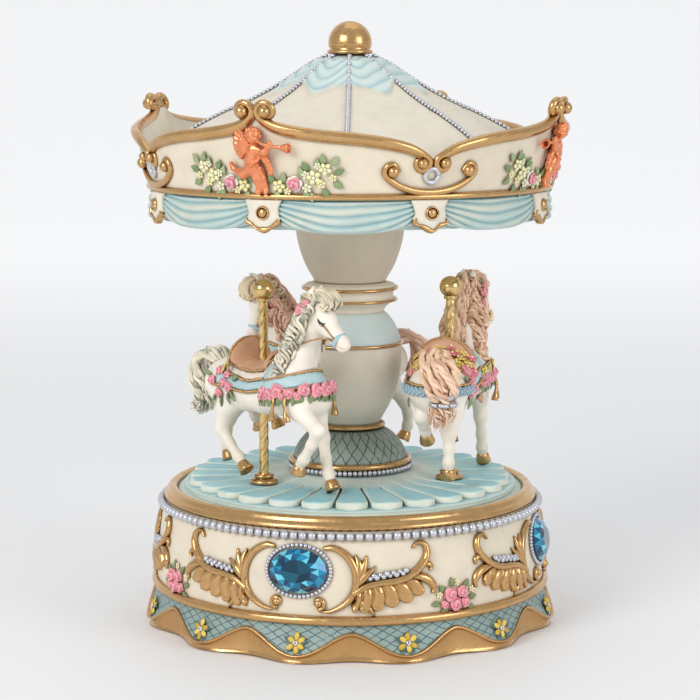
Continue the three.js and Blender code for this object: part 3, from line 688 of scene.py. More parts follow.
def jewels():
    table, girdle, depth = 0.52, 1.0, 3.3
    half = JEWEL_HALF
    # painted glints and shade: each facet gets a lighter or darker blue for the light it would catch
    rim_glints_and_shade = [
        srgb(10, 84, 120), srgb(24, 146, 186), srgb(10, 54, 84), srgb(110, 214, 236), srgb(10, 104, 146),
    ]
    table_painted_shade = [srgb(14, 78, 100), srgb(10, 60, 84), srgb(22, 92, 116), srgb(10, 50, 74)]
    for i in range(JEWEL_COUNT):
        azimuth = JEWEL_AZIMUTH + i * 360 / JEWEL_COUNT
        tilt = math.radians(JEWEL_TILT)
        axes = axes_of(polar(azimuth, math.cos(tilt), math.sin(tilt)))
        seat = polar(azimuth, JEWEL_SEAT, JEWEL_HEIGHT)

        def oval(share, rise, count, phase=0.0):
            turn = 2 * np.pi * (np.arange(count) + phase) / count
            flat = np.stack([half[0] * share * np.cos(turn), half[1] * share * np.sin(turn)], 1)
            return seat + flat @ axes[:2] + rise * axes[2]

        count = 16
        rings = [
            oval(table, depth, count), oval(0.78, depth * 0.74, count, 0.5),
            oval(girdle, depth * 0.16, count), oval(girdle, -0.6, count),
        ]
        stone = Shape()

        def facet(points, shade):
            stone.add(points, [list(range(len(points)))], shade)

        for k in range(count):
            after = (k + 1) % count
            pattern = (k * 7 + (k % 3) * 2) % 5
            facet([rings[0][k], rings[1][k], rings[0][after]], rim_glints_and_shade[pattern])
            facet([rings[0][after], rings[1][k], rings[1][after]], rim_glints_and_shade[(pattern + 3) % 5])
            facet([rings[1][k - 1], rings[2][k], rings[1][k]], rim_glints_and_shade[(pattern * 2 + 1) % 5])
            facet([rings[1][k], rings[2][k], rings[2][after]], rim_glints_and_shade[(pattern + 4) % 5])
            facet([rings[2][k], rings[3][k], rings[3][after], rings[2][after]], rim_glints_and_shade[2])
        # painted shade and reflection for the pavilion's facets, seen through the table as broad patches of
        # different depths
        for k, shade in zip(range(0, count, 4), table_painted_shade):
            corners = [rings[0][(k + n) % count] for n in range(5)]
            facet([*corners, seat + depth * axes[2] + 1.4 * axes[0] - 0.9 * axes[1]], shade)
        stone.make(f"jewel_stone_{i + 1}", "jewel_glass", "base", [f"jewel_{i + 1}"], flat=True)

        setting = Shape()
        turn = 2 * np.pi * np.arange(JEWEL_PEARLS) / JEWEL_PEARLS
        flat = np.stack([(half[0] + 1.15) * np.cos(turn), (half[1] + 1.15) * np.sin(turn)], 1)
        places = seat + flat @ axes[:2]
        pulled = (drum_wall(places[:, 2]) + 0.55) / np.hypot(places[:, 0], places[:, 1])
        places[:, :2] *= pulled[:, None]
        balls(setting, places, 0.8, 6, 8)
        setting.make(f"jewel_pearls_{i + 1}", "pearl", "base", [f"jewel_bezel_{i + 1}"])


def acanthus(gilt, wall, side):
    """The broad leaf under the scroll's stem, whose lobes lean away from the jewel."""
    stem = smooth([(18.8, 24), (23.5, 26.2), (28.5, 27.2), (34, 27.6), (39.5, 28.8)], 20)
    s = np.linspace(0, 1, len(stem))
    lobes = 6
    ripple = np.abs(np.sin(np.pi * lobes * s**0.92)) ** 0.55
    length = np.interp(
        s, [0, 0.1, 0.3, 0.6, 0.85, 1], [4, 8.4, 9.6, 9.2, 8.6, 6.4],
    ) * (0.68 + 0.32 * ripple)
    lean = np.radians(np.interp(s, [0, 0.4, 1], [-84, -60, -18]))
    t = np.linspace(0, 1, 16)[:, None]
    bend = lean - np.radians(34) * (t - 0.3)
    along = stem[:, 0] + np.cos(bend) * length * t
    z = stem[:, 1] + np.sin(bend) * length * t
    swell = 0.5 + 0.5 * np.sin(np.pi * np.clip(t, 0, 1) ** 0.8)
    out = 0.35 + (0.3 + 1.7 * ripple) * swell * (1 - 0.35 * t) + 0.9 * ripple * np.clip((t - 0.75) * 4, 0, 1)
    ends = np.clip(np.minimum(s, 1 - s) * 16, 0, 1) * np.clip((1 - t) * 14, 0, 1)
    out = out * ends - 0.5 * (1 - ends)
    gilt.add(wall.at(side * along, z, out), sheet_faces(16, len(stem)))


def drum_scrolls():
    gilt = Shape()
    pearls = Shape()
    c_scroll = [
        (8.4, 38.9), (12.3, 38.9), (17.0, 35.8), (19.6, 30.5), (19.2, 24.5), (16, 20.2), (11, 17.7),
        (7.3, 18.0),
    ]
    stem = [
        (18.6, 23.6), (23, 26.2), (28, 27.4), (33, 27.8), (38, 29.4), (42, 32.6), (43.8, 36.2),
        (42.8, 39.4), (40, 40.2), (38.6, 38.4),
    ]
    hook = [(37.4, 28.8), (41.4, 28.8), (44.8, 27.4), (46.8, 24.8), (46.4, 22.8)]
    for i in range(JEWEL_COUNT):
        wall = Wall(JEWEL_AZIMUTH + i * 360 / JEWEL_COUNT, drum_wall)
        for side in (-1, 1):

            def line(points, thick, height=None, steps=7, root=0.5, tip=0.12):
                path = smooth([(side * a, z) for a, z in points], steps)
                widths = tapered(len(path), thick, root, tip)
                wall.relief(gilt, path, widths, (height or 1.5 * thick) * (0.35 + 0.65 * widths / thick))

            line(c_scroll, 1.4, 2.4)
            wall.relief(
                gilt, [(side * a, z) for a, z in spiral((7.2, 20.4), 2.3, 0.2, -90, 1.1)], 0.95, 2.0,
            )
            balls(gilt, [wall.at(side * 7.2, 20.4, 1.0)], 1.4)
            acanthus(gilt, wall, side)
            line(stem, 1.45, 2.8, root=0.9, tip=0.35)
            line(hook, 1.5, 2.4, tip=0.5)
            line([(41.4, 32), (43.8, 33), (45.6, 32), (45.4, 30.6)], 0.9, 2.0, tip=0.7)
            line([(19.2, 24.2), (21.4, 20.6), (24.6, 18.4), (26.2, 15.9)], 1.2, 1.9)
            # the small leaves that rise outside the C
            for bend, tip_at in (
                ((20.6, 32.5), (19.2, 36.8)), ((21.8, 31.8), (23.0, 36.4)), ((22.6, 29.6), (26.2, 32.8)),
            ):
                line([(19.4, 26.0), bend, tip_at], 1.55, 2.2, 8, tip=0.3)
            # silver pearls lying along the leaf
            for k in range(12):
                along = 24.4 + 1.1 * k
                z = 28.9 + 0.14 * k + 0.8 * (k % 2)
                balls(pearls, [wall.at(side * along, z, 1.0)], 0.85 + 0.12 * (k % 3), 6, 8)
    gilt.make("drum_scrolls", "gold_paint", "base")
    pearls.make("scroll_pearls", "pearl", "base")

    posies = Shape()
    for i in range(JEWEL_COUNT):
        wall = Wall(JEWEL_AZIMUTH + 45 + i * 360 / JEWEL_COUNT, drum_wall)
        for along, z, size in (
            (-2.2, 21.6, 2.7), (2.3, 22.0, 2.3), (-0.4, 18.2, 2.6), (3.6, 18.4, 2.0), (-4.3, 18.4, 1.6),
        ):
            rose(posies, wall.at(along, z, 0.9), wall.normal(along, z), size, turn=along)
        for along, z, turn in (
            (-4, 22.6, 135), (-1, 24, 100), (3.4, 23.4, 52), (5.4, 19.6, 8), (-6, 19, 188),
            (4.8, 16.8, -20), (-3, 16.6, 200),
        ):
            base = wall.at(along, z, 0.5)
            way = wall.at(
                along + 3 * math.cos(math.radians(turn)), z + 3 * math.sin(math.radians(turn)), 0.7,
            ) - base
            leaf(posies, base, way, wall.normal(along, z), 3.4, 2.1, tint=srgb(122, 142, 88))
        for along, z in ((6.8, 22.4), (-6.2, 21.8), (0.6, 25.4)):
            blossom(posies, wall.at(along, z, 0.5), wall.normal(along, z), 1.3, PALE_YELLOW)
    posies.make("drum_posies", "flower_paint", "base")


skirt()
drum()
jewels()
drum_scrolls()

# ---- turntable and its petals --------------------------------------------------------------------

PETALS = 28
PETAL_ROOT = 21
# the round tip starts here and is this long
PETAL_SHOULDER = 51.6
PETAL_TIP = 7
DISC_TOP = 49.7
PETAL_TOP = 52.2


def turntable():
    disc = Shape(srgb(206, 222, 214))
    outline = smooth(
        [
            (2.2, 47.1), (58.6, 47.1), (59.9, 47.7), (60, 48.8), (59.2, DISC_TOP), (50, DISC_TOP), (20, 51),
        ], 5,
    )

    def rim_tint(radius, azimuth, z):
        blue = np.clip((z - 48.9) / 0.8, 0, 1)[..., None] * 0.6
        return between(srgb(214, 224, 210), BLUE, blue)

    turned(disc, outline, 192, tint=rim_tint)
    disc.make("turntable_disc", "blue_paint", "carousel", ["turntable"])

    petals = Shape()
    lengthwise = np.concatenate([
        np.linspace(PETAL_ROOT, PETAL_SHOULDER, 16),
        PETAL_SHOULDER + PETAL_TIP * np.sin(np.linspace(0.12, np.pi / 2, 12)),
    ])
    across = np.array([-1, -1, -0.96, -0.86, -0.66, -0.36, 0, 0.36, 0.66, 0.86, 0.96, 1, 1])
    wall = np.array([1, 0.25, 0.06, 0, 0, 0, 0, 0, 0, 0, 0.06, 0.25, 1])
    for i in range(PETALS):
        tone = random.uniform(0.0, 1.0)
        lift = random.uniform(-0.12, 0.12)
        reach = random.uniform(-0.5, 0.5)
        r = lengthwise[:, None] + reach * np.clip((lengthwise[:, None] - 45) / 10, 0, 1)
        tip = np.clip((r - PETAL_SHOULDER - reach) / PETAL_TIP, 0, 1)
        half = (np.pi * r / PETALS - 0.45) * np.sqrt(np.clip(1 - tip**2.6, 0, 1))
        slope = np.interp(r, [20, 24, 32, 58], [54.1, 53.5, PETAL_TOP + 0.1, PETAL_TOP])
        crown = 0.35 * (across[None, :] ** 2 - 0.4) * np.clip((r - 24) / 20, 0, 1)
        end = np.clip((tip - 0.86) / 0.14, 0, 1) ** 2
        top = slope + lift * np.clip((r - 30) / 20, 0, 1) - crown
        down = np.maximum(wall[None, :] * np.clip((r - 24) / 10, 0, 1), end)
        z = top + (DISC_TOP - 0.3 - top) * down
        offset = across[None, :] * half
        sway = 0.7 * np.sin((r - 24) / 14)
        centre = i * 360 / PETALS
        points = polar(centre + np.degrees((offset + sway) / r), r * np.ones_like(offset), z)
        border = np.clip((half - np.abs(offset)) / 0.7, 0, 1) * np.clip(58.5 - r, 0, 1)
        blue = (border * (1 - np.clip(down * 3, 0, 1)) * np.clip((r - 24) / 12, 0, 1))[..., None]
        shade = (0.3 + 0.5 * np.sin((r - 30) / 12 + 6 * tone) ** 2 + 0.2 * tone)[..., None]
        shade = shade * np.ones_like(blue)
        rich = between(srgb(184, 220, 222), srgb(142, 198, 208), shade)
        pale = np.array(srgb(224, 228, 212)) * np.ones_like(rich)
        near = np.clip((30 - r) / 8, 0, 1)[..., None]
        pale = between(pale, srgb(206, 216, 208), near)
        colours = between(pale, rich, blue)
        petals.add(points, sheet_faces(*z.shape), colours.reshape(-1, 3))
    turned(petals, [(31, 52.0), (27, 52.9), (23.5, 53.8), (20, 54.3)], 96, tint=srgb(206, 216, 208))
    petals.make("turntable_petals", "blue_paint", "carousel")


# ---- column --------------------------------------------------------------------------------------

VASE_BLUE = srgb(206, 222, 220)


def column():
    dome = Shape(DOME_GREEN)
    outline = smooth(
        [(20.9, 57.2), (20.5, 59.2), (19.6, 61.6), (18.1, 64.0), (15.6, 66.7), (13.0, 68.4), (11.0, 69.2)],
        6,
    )
    segments = 240

    def quilted(radius, azimuth, z):
        turn = np.radians(azimuth) * 15
        rise = (z - 54) * 0.56
        grooves = np.minimum(np.abs(np.sin(turn + rise)), np.abs(np.sin(turn - rise)))
        return radius - 0.28 * np.exp(-((grooves / 0.16) ** 2)), z

    turned(dome, outline, segments, quilted)
    dome.make("pedestal_quilted_dome", "dome_lattice", "carousel", ["pedestal_dome"])

    gilt = Shape()
    for radius, z, thick in (
        (21.3, 57.3, 1.15), (11.9, 70.0, 0.95), (18.9, 100.0, 0.55), (16.7, 115.7, 0.55), (16.9, 119.9, 0.6),
    ):
        around = np.linspace(-np.pi, np.pi, 13)
        turned(gilt, [(radius + thick * math.cos(a), z + thick * math.sin(a)) for a in around], 160)
    gilt.make("column_gold_rings", "gold_paint", "carousel")

    beads = Shape()
    azimuths = np.arange(PEDESTAL_PEARLS) * 360 / PEDESTAL_PEARLS
    balls(beads, polar(azimuths, 22.2, 55.5), 0.92, 7, 9)
    beads.make("pedestal_pearls", "pearl", "carousel", ["pedestal_pearl_string"])

    vase = Shape()
    points = [
        (11.4, 69.4), (11.2, 71.4), (12.4, 73.8), (14.4, 77.4), (16.2, 81.6), (17.6, 86.2), (18.4, 91.2),
        (18.7, 96),
    ]
    points += [(18.6, 99.2), (18.3, 101.4), (17.4, 104.2), (15.8, 107.4), (13.6, 110.2), (12.2, 111.3)]

    def vase_tint(radius, azimuth, z):
        up = np.clip((z - 99.6) / 0.8, 0, 1)[..., None]
        low = np.clip((78 - z) / 8, 0, 1)[..., None]
        body = between(srgb(238, 228, 210), srgb(204, 206, 190), low)
        return between(body, VASE_BLUE, up)

    turned(vase, smooth(points, 6), 160, tint=vase_tint)
    vase.make("vase_urn", "tinted_paint", "carousel", ["vase_body"])

    collar = Shape(srgb(230, 222, 204))
    points = [
        (12.2, 111.2), (13.0, 113.0), (14.9, 114.6), (16.4, 115.6), (16.2, 116.4), (15.7, 116.9),
        (15.7, 118.3), (16.4, 118.9),
    ]
    points += [(16.6, 120.2), (16.0, 121.2), (14.2, 121.7), (12.6, 122.1)]
    turned(collar, smooth(points, 5), 160)
    collar.make("vase_rolled_collar", "tinted_paint", "carousel", ["vase_collar"])

    bowl = Shape(srgb(212, 200, 180))
    points = [
        (12.7, 122.0), (13.6, 123.8), (15.4, 126.8), (17.0, 130.4), (18.3, 134.4), (19.3, 139), (20.0, 145),
        (20.3, 150.3),
    ]
    turned(bowl, smooth(points, 6), 160)
    bowl.make("upper_urn_bowl", "tinted_paint", "carousel", ["upper_bowl"])


# ---- poles ---------------------------------------------------------------------------------------

POLES = 3
POLE_SPACING = 120
POLE_CIRCLE = 38.5
POLE_AZIMUTH = -52.3
DECK = 52.2


def poles():
    for i in range(POLES):
        centre = polar(POLE_AZIMUTH + i * POLE_SPACING, POLE_CIRCLE, 0.0)
        rope = Shape()
        z = np.linspace(DECK + 3.5, 119.5, 220)[:, None]
        turn = np.linspace(0, 2 * np.pi, 24, endpoint=False)[None, :]
        radius = 1.5 + 0.26 * np.abs(np.cos(1.5 * turn - z * 2 * np.pi / 9.0)) ** 0.8 - 0.06
        points = np.stack(np.broadcast_arrays(radius * np.cos(turn), radius * np.sin(turn), z), -1)
        rope.add(points + centre, sheet_faces(220, 24, wrap_columns=True))
        rope.caps(220, 24)
        rope.make(f"pole_twist_{i + 1}", "brass", "carousel", [f"pole_{i + 1}"])

        ball = Shape()
        profile = [(1.4, 117.2), (2.3, 117.3), (2.5, 117.9), (2.1, 118.4)]
        profile += [(4.0 * math.cos(a), 121.6 + 3.8 * math.sin(a)) for a in np.linspace(-1.0, 1.56, 12)]
        turned(ball, profile, 32)
        shift(ball, centre)
        ball.make(f"pole_top_ball_{i + 1}", "brass", "carousel", [f"pole_ball_{i + 1}"])

        foot = Shape()
        profile = [
            (4.5, DECK), (4.9, 52.8), (4.8, 53.7), (4.0, 54.3), (3.2, 54.5), (3.5, 55.0), (3.4, 55.7),
            (2.6, 56.1), (1.4, 56.2),
        ]
        turned(foot, smooth(profile, 3), 32)
        shift(foot, centre)
        foot.make(f"pole_bun_foot_{i + 1}", "gold_paint", "carousel", [f"pole_foot_{i + 1}"])


def shift(shape, by):
    """Moves everything gathered so far."""
    shape.points = [p + by for p in shape.points]


turntable()
column()
poles()

# ---- canopy --------------------------------------------------------------------------------------

CORNER_AZIMUTH = -23.5
CORNERS = 4
RING_HEIGHT = 157.0
STRINGS = 8
STRING_AZIMUTH = -1.0
TABS = 8
BAND_ARC = 76.0  # the radius at which distances along the band are counted
HALF_FACE = BAND_ARC * math.pi / CORNERS

# the top moulding from a corner, 0 mm along, to the middle of a face: [along, z] points
MOULDING = [(1.3, 183.6), (3.6, 181.4), (7.5, 179.6), (13, 178.4), (22, 177.2), (33, 176.2), (43, 174.8)]
MOULDING += [(50, 173.2), (54.6, 171.4), (57.8, 169.6)]


def band_radius(z):
    return 71.4 + (np.asarray(z, float) - RING_HEIGHT) * 0.235


def roof_height(radius):
    """The tent's height at a distance from the axis."""
    knots = [
        (4, 203.6), (8.9, 202), (14, 199.6), (21.4, 194.6), (28.6, 190.2), (35.7, 186.5), (44.6, 182.6),
    ]
    knots += [(53.3, 178.2), (60, 174.2), (68.4, 169)]
    return np.interp(radius, *zip(*knots))


def roof():
    tent = Shape()
    radii = np.concatenate([np.linspace(4, 40, 90), np.linspace(41, 68.4, 24)])
    outline = np.stack([radii, roof_height(radii)], 1)
    outline[:, 1] = np.convolve(np.pad(outline[:, 1], 3, mode="edge"), np.ones(7) / 7, "valid")
    outline[:, 1][:4] = roof_height(radii[:4])

    def panel(azimuth):
        """From -1 to 1 across the panel between two bead strings."""
        return ((azimuth - STRING_AZIMUTH) % (360 / STRINGS)) / (180 / STRINGS) - 1

    def drape_edge(azimuth):
        across = panel(azimuth)
        return 28.5 - 5.0 * across**2 + 1.3 * np.sin(5 * across + azimuth / 40)

    def folds(radius, azimuth):
        across = panel(azimuth)
        inside = np.clip((drape_edge(azimuth) - radius) / 0.8, 0, 1)
        line = radius * (1 + 0.22 * across**2) + 1.2 * np.sin(3 * across + azimuth / 30)
        return inside, np.abs(np.sin(line * 0.62 + across * 1.2))

    def shaped(radius, azimuth, z):
        sag = 0.8 * (1 - panel(azimuth) ** 2) * np.clip((radius - 12) / 20, 0, 1)
        inside, ridge = folds(radius, azimuth)
        cloth = inside * (0.55 + 0.55 * ridge) * np.clip((radius - 8) / 4, 0, 1)
        return radius + 0 * azimuth, z - sag + cloth

    def painted(radius, azimuth, z):
        inside, ridge = folds(radius, azimuth)
        # the drape's blue is paler on the fold ridges as painted light and deeper in the fold valleys as
        # painted shade
        ridge = (ridge**0.6)[..., None]
        cloth = between(srgb(154, 188, 194), srgb(208, 222, 216), ridge)
        inside = inside[..., None]
        edge = np.exp(-(((radius - drape_edge(azimuth)) / 0.9) ** 2))[..., None]
        colour = between(srgb(226, 217, 198), cloth, inside)
        return between(colour, srgb(206, 190, 158), 0.35 * edge)

    turned(tent, outline, 384, shaped, painted)
    under = [(68.4, 169), (68.4, 151.2), (67.6, 150.4), (40, 150.3), (20, 150.3)]
    turned(tent, under, 96, tint=srgb(226, 218, 198))
    tent.make("canopy_tent", "tinted_paint", "carousel", ["canopy_roof"])

    strings = Shape()
    radii = np.linspace(8.6, 67, 1000)
    lift = roof_height(radii) + 0.5
    arc = np.concatenate([[0], np.cumsum(np.hypot(np.diff(radii), np.diff(lift)))])
    spots = np.arange(0, arc[-1], 1.6)
    for i in range(STRINGS):
        azimuth = STRING_AZIMUTH + i * 360 / STRINGS
        places = polar(azimuth, np.interp(spots, arc, radii), np.interp(spots, arc, lift))
        balls(strings, places, 0.85, 6, 8)
    strings.make("tent_bead_strings", "pearl", "carousel")


def along_band(azimuth):
    """Millimetres along the band from the nearest corner."""
    step = 360 / CORNERS
    turn = (azimuth - CORNER_AZIMUTH) % step
    return np.radians(np.minimum(turn, step - turn)) * BAND_ARC


def band():
    moulding = smooth(MOULDING, 8)

    def edge(azimuth):
        return np.interp(along_band(azimuth), moulding[:, 0], moulding[:, 1])

    face = Shape(srgb(232, 222, 204))
    rows = [(0, 0.02), (0, 0.3), (0, 0.6), (0, 0.85), (0, 1), (-2.4, 1), (-2.4, 0.6), (-2.4, 0.3)]

    def walls(row, azimuth, _):
        inward, share = (np.array(rows)[row[:, 0].astype(int), k][:, None] for k in (0, 1))
        z = RING_HEIGHT - 1 + share * (edge(azimuth) - RING_HEIGHT + 1)
        return band_radius(z) + inward, z

    turned(face, [(i, 0) for i in range(len(rows))], 480, walls)
    face.make("canopy_band_wall", "cream_paint", "carousel", ["canopy_band"])

    gilt = Shape()
    turn = np.linspace(-np.pi, np.pi, 15)
    turned(gilt, [(71.6 + 1.25 * math.cos(a), RING_HEIGHT + 1.15 * math.sin(a)) for a in turn], 240)
    silver = Shape()
    horn_centre, curl_centre = (3.9, 185.0), (HALF_FACE - 4.0, 168.0)
    for corner in range(CORNERS):
        start = CORNER_AZIMUTH + corner * 360 / CORNERS
        wall = Wall(start, band_radius)
        for side in (-1, 1):

            def placed(path):
                """The path's distances are along the band; the wall counts them at its own radius."""
                path = np.asarray(path, float)
                return np.stack([side * path[:, 0] * band_radius(path[:, 1]) / BAND_ARC, path[:, 1]], 1)

            horn = spiral(horn_centre, 3.3, 1.1, 200, -1.15, 20)
            curl = spiral(curl_centre, 3.0, 0.8, 40, -1.2, 20)
            path = np.vstack([horn[::-1][:-1], moulding, curl[1:]])
            share = np.linspace(0, 1, len(path))
            marks = [0, 0.1, 0.24, 0.34, 0.6, 0.72, 0.88, 1]
            thick = np.interp(share, marks, [0.9, 1.4, 1.75, 2.1, 2.15, 1.9, 1.25, 0.8])
            wall.relief(gilt, placed(path), thick, thick * 1.8, 14, sunk=0.55)
            ridge = placed(moulding + np.array([0, -1.5]))
            wall.relief(gilt, ridge, tapered(len(ridge), 0.6, 0.6, 0.5), 1.7, 8)
            for (along, z), size in ((horn_centre, 2.2), (curl_centre, 1.75)):
                spot = placed([(along, z)])[0]
                balls(gilt, [wall.at(spot[0], spot[1], 1.6)], size, 9, 14)
        middle = Wall(start + 180 / CORNERS, band_radius)
        smile = [
            (-11.4, 165.2), (-13.4, 167.6), (-15.6, 167.0), (-15.9, 164.4), (-12.2, 161.2), (-6.5, 159.0),
            (0, 158.3),
        ]
        smile += [(-a, z) for a, z in smile[-2::-1]]
        path = smooth(smile, 7)
        share = np.abs(np.linspace(-1, 1, len(path)))
        middle.relief(gilt, path, 1.25 - 0.35 * share, 2.2 - 0.5 * share, 10)
        for side in (-1, 1):
            balls(gilt, [middle.at(side * 13.4, 165.4, 1.0)], 2.0, 9, 14)
        turn = np.linspace(0, 2 * np.pi, 25)
        loop = np.stack([2.35 * np.cos(turn), 163.9 + 2.35 * np.sin(turn)], 1)
        middle.relief(silver, loop, 0.85, 1.7, 10)
    gilt.make("canopy_gilt_mouldings", "gold_paint", "carousel")
    silver.make("canopy_silver_rings", "pearl", "carousel")


def valance():
    swags = Shape()
    rows = np.linspace(0, 1, 44)
    top, low = 156.4, 144.9

    def across(azimuth):
        return ((azimuth - CORNER_AZIMUTH) % (360 / TABS)) / (180 / TABS) - 1

    def depth(azimuth):
        return top - (low + 4.8 * np.abs(across(azimuth)) ** 2.6)

    def folds(azimuth, drop):
        """Folds that hang in arcs from one tab to the next, crowding together at the tabs."""
        t = np.abs(across(azimuth))
        hang = 11.5 * (1 - 0.8 * t**1.7)
        return np.abs(np.sin(np.pi * (3.5 * drop / hang + 0.18 + 0.07 * np.sin(across(azimuth) * 7)))) ** 0.75

    def draped(share, azimuth, _):
        drop = share * depth(azimuth)
        belly = 1.1 * np.sin(np.pi * share * 0.8) * (1 - across(azimuth) ** 2)
        fade = np.clip((1 - share) * 12, 0, 1) * np.clip(share * 8, 0, 1)
        return 70.4 + belly + 1.0 * folds(azimuth, drop) * fade, top - drop

    def fold_shaded(radius, azimuth, z):
        ridge = folds(azimuth, top - z)[..., None]
        patch = (0.5 + 0.5 * np.sin(np.radians(azimuth) * 9 + (top - z) * 0.5))[..., None]
        pale = patch * np.array(srgb(208, 212, 196)) + (1 - patch) * np.array(srgb(186, 206, 200))
        rich = np.array(srgb(154, 186, 188))
        # the fold ridges are pale as painted light and the hollows between them a richer blue as painted
        # shade; the pale colour also varies in patches
        mix = np.clip(1.1 * ridge**1.1 - 0.06, 0, 1)
        return mix * pale + (1 - mix) * rich

    turned(swags, np.stack([rows, rows], 1), 8 * 60, draped, fold_shaded)

    def hem(_, azimuth, inward):
        return 70.2 + inward, top - depth(azimuth) + 0.02 * np.abs(inward)

    turned(swags, [(0, 0.3), (0, -0.6), (0, -1.6)], 8 * 60, hem, tint=srgb(200, 216, 208))
    turned(swags, [(68.8, 145.8), (68.8, 150.3)], 96, tint=srgb(200, 216, 208))
    swags.make("valance_swags", "blue_paint", "carousel", ["canopy_valance"])

    tabs = Shape(srgb(230, 222, 204))
    gilt = Shape()
    outline = [
        (-6.6, 156), (-5.6, 153.4), (-5.2, 151.2), (-6.2, 149.2), (-5.6, 147.6), (-3.6, 147.0),
        (-1.4, 145.4), (0.8, 144.9),
    ]
    outline += [(2.8, 146.2), (4.6, 147.0), (6.2, 148.2), (5.6, 150.8), (5.4, 153.2), (6.6, 156)]
    outline = smooth(outline, 4)
    middle = np.array([0, 151.5])
    for i in range(TABS):
        wall = Wall(CORNER_AZIMUTH + i * 360 / TABS, lambda z: 71.4 + 0 * z)
        rings = []
        for shrink, out in ((1, -0.6), (1, 0.9), (0.9, 1.35), (0.5, 1.5), (0.02, 1.55)):
            path = middle + (outline - middle) * shrink
            rings.append(wall.at(path[:, 0], path[:, 1], out))
        tabs.add(np.stack(rings), sheet_faces(len(rings), len(outline), wrap_columns=True))
        # the gilding laid over the tab's ragged lower edge
        lower = outline[outline[:, 1] < 149.8]
        share = np.linspace(0, 1, len(lower))
        depth = (0.16 + 0.16 * np.sin(share * 9 + i) ** 2)[:, None]
        inner = lower + (middle - lower) * depth * np.array([0.6, 1])
        bands = []
        for mix, out in ((0, -0.5), (-0.05, 0.9), (0.15, 1.75), (0.6, 2.0), (0.95, 1.75), (1.0, 1.2)):
            path = lower + (inner - lower) * mix
            bands.append(wall.at(path[:, 0], path[:, 1], out))
        gilt.add(np.stack(bands), sheet_faces(len(bands), len(lower)))
        egg(gilt, wall.at(0.3, 151.6, 1.5), (1.75, 1.75, 1.3), axes_of(wall.normal(0, 151.0)), 9, 14)
        turn = np.linspace(0, 2 * np.pi, 17)
        wall.relief(
            gilt, np.stack([0.3 + 2.0 * np.cos(turn), 151.6 + 2.0 * np.sin(turn)], 1), 0.3, 2.2, 6, sunk=0,
        )
    tabs.make("valance_tabs", "tinted_paint", "carousel")
    gilt.make("valance_studs_and_edges", "gold_paint", "carousel")


def finial():
    knob = Shape()
    profile = [(2, 203.3), (7.6, 203.3), (8.2, 203.8), (8.0, 204.6), (7.0, 204.9)]
    profile += [(7.75 * math.cos(a), 207.2 + 7.75 * math.sin(a)) for a in np.linspace(-0.18, 1.55, 16)]
    turned(knob, profile, 64)
    knob.make("finial_ball", "gold_paint", "carousel", ["finial"])


roof()
band()
valance()
finial()

# ---- carved figures: a distance field made into a mesh -------------------------------------------


class Carving:
    """A solid carved from rounded limbs that flow into each other, on a grid of the given step."""

    def __init__(self, low, high, step):
        self.low = np.asarray(low, float)
        self.step = step
        self.size = tuple(int(math.ceil((h - l) / step)) for l, h in zip(low, high))
        self.field = np.full(self.size, 9.0, np.float32)

    def window(self, low, high):
        start = np.clip(((np.asarray(low) - self.low) / self.step).astype(int) - 1, 0, self.size)
        stop = np.clip(((np.asarray(high) - self.low) / self.step).astype(int) + 2, 0, self.size)
        where = tuple(slice(a, b) for a, b in zip(start, stop))
        axes = [self.low[i] + self.step * np.arange(start[i], stop[i]) for i in range(3)]
        return where, np.stack(np.meshgrid(*axes, indexing="ij"), -1).astype(np.float32)

    def limb(self, a, b, ra, rb, blend=1.5, cut=False):
        a, b = np.asarray(a, np.float32), np.asarray(b, np.float32)
        reach = max(ra, rb) + blend * 1.5 + 1
        where, points = self.window(np.minimum(a, b) - reach, np.maximum(a, b) + reach)
        way = b - a
        share = np.clip((points - a) @ way / max(float(way @ way), 1e-6), 0, 1)
        distance = np.linalg.norm(points - a - share[..., None] * way, axis=-1) - (ra + (rb - ra) * share)
        old = self.field[where]
        if cut:
            self.field[where] = np.maximum(old, -distance)
            return
        mix = np.clip(0.5 + 0.5 * (old - distance) / blend, 0, 1)
        self.field[where] = old * (1 - mix) + distance * mix - blend * mix * (1 - mix)

    def chain(self, points, blend=1.5):
        """Limbs through [x, y, z, radius] points."""
        for a, b in zip(points, points[1:]):
            self.limb(a[:3], b[:3], a[3], b[3], blend)

    def mesh(self):
        grid = openvdb.FloatGrid(9.0)
        grid.copyFromArray(np.clip(self.field, -3, 3))
        points, quads = grid.convertToQuads(0.0)
        return points * self.step + self.low, quads[:, ::-1]


def loosen(points, quads, passes=2):
    """Evens out the grid's steps: each point moves halfway to the mean of its neighbours."""
    for _ in range(passes):
        total = np.zeros_like(points)
        count = np.zeros(len(points))
        for a, b in ((0, 1), (1, 2), (2, 3), (3, 0)):
            np.add.at(total, quads[:, a], points[quads[:, b]])
            np.add.at(total, quads[:, b], points[quads[:, a]])
            np.add.at(count, quads[:, a], 1)
            np.add.at(count, quads[:, b], 1)
        points = 0.5 * points + 0.5 * total / count[:, None]
    return points


# ---- horses --------------------------------------------------------------------------------------
# In a horse's own frame u runs forward, v to its left and w up from the deck, with the pole at u = v = 0.

HORSE_WHITE = srgb(246, 238, 224)
SADDLE_TAN = srgb(206, 158, 124)
NECK_ROOT = np.array([16.5, 0.0, 40.5])
HEAD_SCALE = 0.86
FIRST_HEADING = -47
# the height of the barrel's middle line
BARREL_HEIGHT = 35.5
BARREL = [
    (-17, 0, 34.6, 8.6), (-8, 0, 34.2, 8.3), (3, 0, 34.2, 8.2), (14, 0, 35.4, 8.8), (21, 0, 36.0, 7.8),
]
# share of the way from the neck's root to the poll, and radius
NECK = ((0, 7.4), (0.36, 5.3), (0.7, 4.2), (0.98, 3.8))
